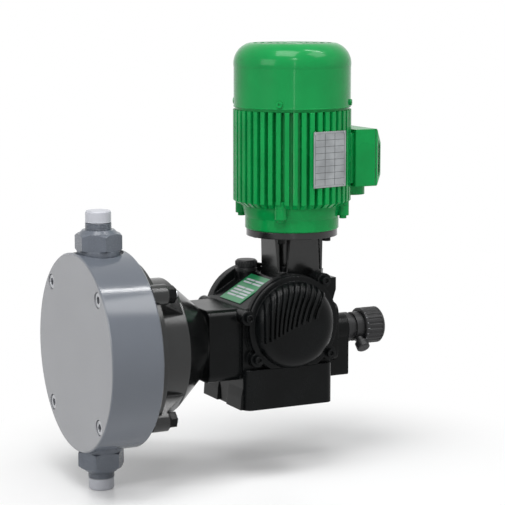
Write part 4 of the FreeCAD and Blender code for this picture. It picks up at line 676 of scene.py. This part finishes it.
def makeFloor(look):  # pale paper that turns to plain white away from the pump
    bpy.ops.mesh.primitive_plane_add(size=look["size"], location=(0, 0, floorZ - look["drop"]))
    floor = bpy.context.object
    floor.name = "floor"
    bpy.ops.object.transform_apply(location=True, rotation=True, scale=True)
    mat, tree, shader, coords = startFinish("floorPaper", look["colour"], 0.0, look["rough"])
    mist = addNoise(tree, coords, look["mistScale"], look["mistDetail"])
    shade = addShades(tree, mist, look["colour"], 1 - look["vary"], 1 + look["vary"])
    tree.links.new(shade, shader.inputs["Base Color"])
    away = tree.nodes.new("ShaderNodeVectorMath")
    away.operation = "LENGTH"
    tree.links.new(coords, away.inputs[0])
    fade = tree.nodes.new("ShaderNodeMapRange")
    fade.interpolation_type = "SMOOTHSTEP"
    fade.inputs["From Min"].default_value = look["fadeStart"]
    fade.inputs["From Max"].default_value = look["fadeEnd"]
    fade.inputs["To Min"].default_value = look["nearGlow"]
    tree.links.new(away.outputs["Value"], fade.inputs["Value"])
    seen = tree.nodes.new("ShaderNodeMath")
    seen.operation = "MULTIPLY"
    tree.links.new(fade.outputs["Result"], seen.inputs[0])
    tree.links.new(whiteRays(tree), seen.inputs[1])
    glow = tree.nodes.new("ShaderNodeEmission")
    glow.inputs["Color"].default_value = (1, 1, 1, 1)
    glow.inputs["Strength"].default_value = 1.0
    mix = tree.nodes.new("ShaderNodeMixShader")
    tree.links.new(seen.outputs["Value"], mix.inputs["Fac"])
    tree.links.new(shader.outputs["BSDF"], mix.inputs[1])
    tree.links.new(glow.outputs["Emission"], mix.inputs[2])
    tree.links.new(mix.outputs["Shader"], tree.nodes["Material Output"].inputs["Surface"])
    floor.data.materials.append(mat)


makeFloor(floorLook)

worldLook = {"seen": (1, 1, 1), "light": (0.80, 0.81, 0.83), "strength": 0.17}


def makeWorld(look):  # white where it is seen, a soft grey where it lights the pump
    world = bpy.data.worlds.new("studio")
    world.use_nodes = True
    bpy.context.scene.world = world
    tree = world.node_tree
    soft = tree.nodes["Background"]
    soft.inputs["Color"].default_value = (*look["light"], 1)
    soft.inputs["Strength"].default_value = look["strength"]
    white = tree.nodes.new("ShaderNodeBackground")
    white.inputs["Color"].default_value = (*look["seen"], 1)
    white.inputs["Strength"].default_value = 1.0
    mix = tree.nodes.new("ShaderNodeMixShader")
    tree.links.new(whiteRays(tree), mix.inputs["Fac"])
    tree.links.new(soft.outputs["Background"], mix.inputs[1])
    tree.links.new(white.outputs["Background"], mix.inputs[2])
    tree.links.new(mix.outputs["Shader"], tree.nodes["World Output"].inputs["Surface"])


makeWorld(worldLook)

lampLooks = [
    {"name": "highSoftbox", "power": 33, "size": (1.1, 1.1),
     "place": (-0.62, -0.60, 2.15), "aim": (-0.04, 0, 0.15)},
    {"name": "rimLine", "power": 5, "size": (0.07, 0.7),
     "place": (0.62, -0.36, 1.73), "aim": (-0.21, -0.07, 0.15)},
    {"name": "rimPanel", "power": 8, "size": (0.75, 0.7),
     "place": (0.70, -0.86, 1.62), "aim": (-0.21, -0.07, 0.15)},
    {"name": "cowlWindow", "power": 7, "size": (0.34, 0.10),
     "place": (-0.76, -1.78, 1.65), "aim": (0.03, 0, 0.35)},
    {"name": "uprightStrip", "power": 2.6, "size": (0.10, 1.58),
     "place": (-1.02, -2.35, 0.72), "aim": (0.03, 0, 0.38)},
    {"name": "headSoftbox", "power": 15, "size": (1.2, 1.2),
     "place": (-2.3, -0.55, 0.95), "aim": (-0.2, 0, 0.08)},
    {"name": "sideFill", "power": 1.2, "size": (1.2, 1.2),
     "place": (1.9, -1.1, 0.9), "aim": (0.05, 0, 0.12)},
]


def makeLamp(look):
    bpy.ops.object.light_add(type="AREA", location=look["place"])
    light = bpy.context.object
    light.name = look["name"]
    light.data.shape = "RECTANGLE"
    light.data.size, light.data.size_y = look["size"]
    light.data.energy = look["power"]
    ahead = Vector(look["aim"]) - Vector(look["place"])
    light.rotation_euler = ahead.to_track_quat("-Z", "Y").to_euler()


for lampLook in lampLooks:
    makeLamp(lampLook)

cameraLook = {"place": (-0.9514, -1.8583, 0.4804), "azimuth": 63.30, "dip": 8.38,
              "lens": 128.4, "sensor": 36}


def makeCamera(look):
    bpy.ops.object.camera_add(location=look["place"])
    camera = bpy.context.object
    camera.data.lens = look["lens"]
    camera.data.sensor_width = look["sensor"]
    azimuth, dip = math.radians(look["azimuth"]), math.radians(look["dip"])
    ahead = Vector((math.cos(azimuth) * math.cos(dip), math.sin(azimuth) * math.cos(dip),
                    -math.sin(dip)))
    camera.rotation_euler = ahead.to_track_quat("-Z", "Y").to_euler()
    bpy.context.scene.camera = camera


makeCamera(cameraLook)
bpy.context.scene.view_settings.view_transform = "Standard"
print("stage set")
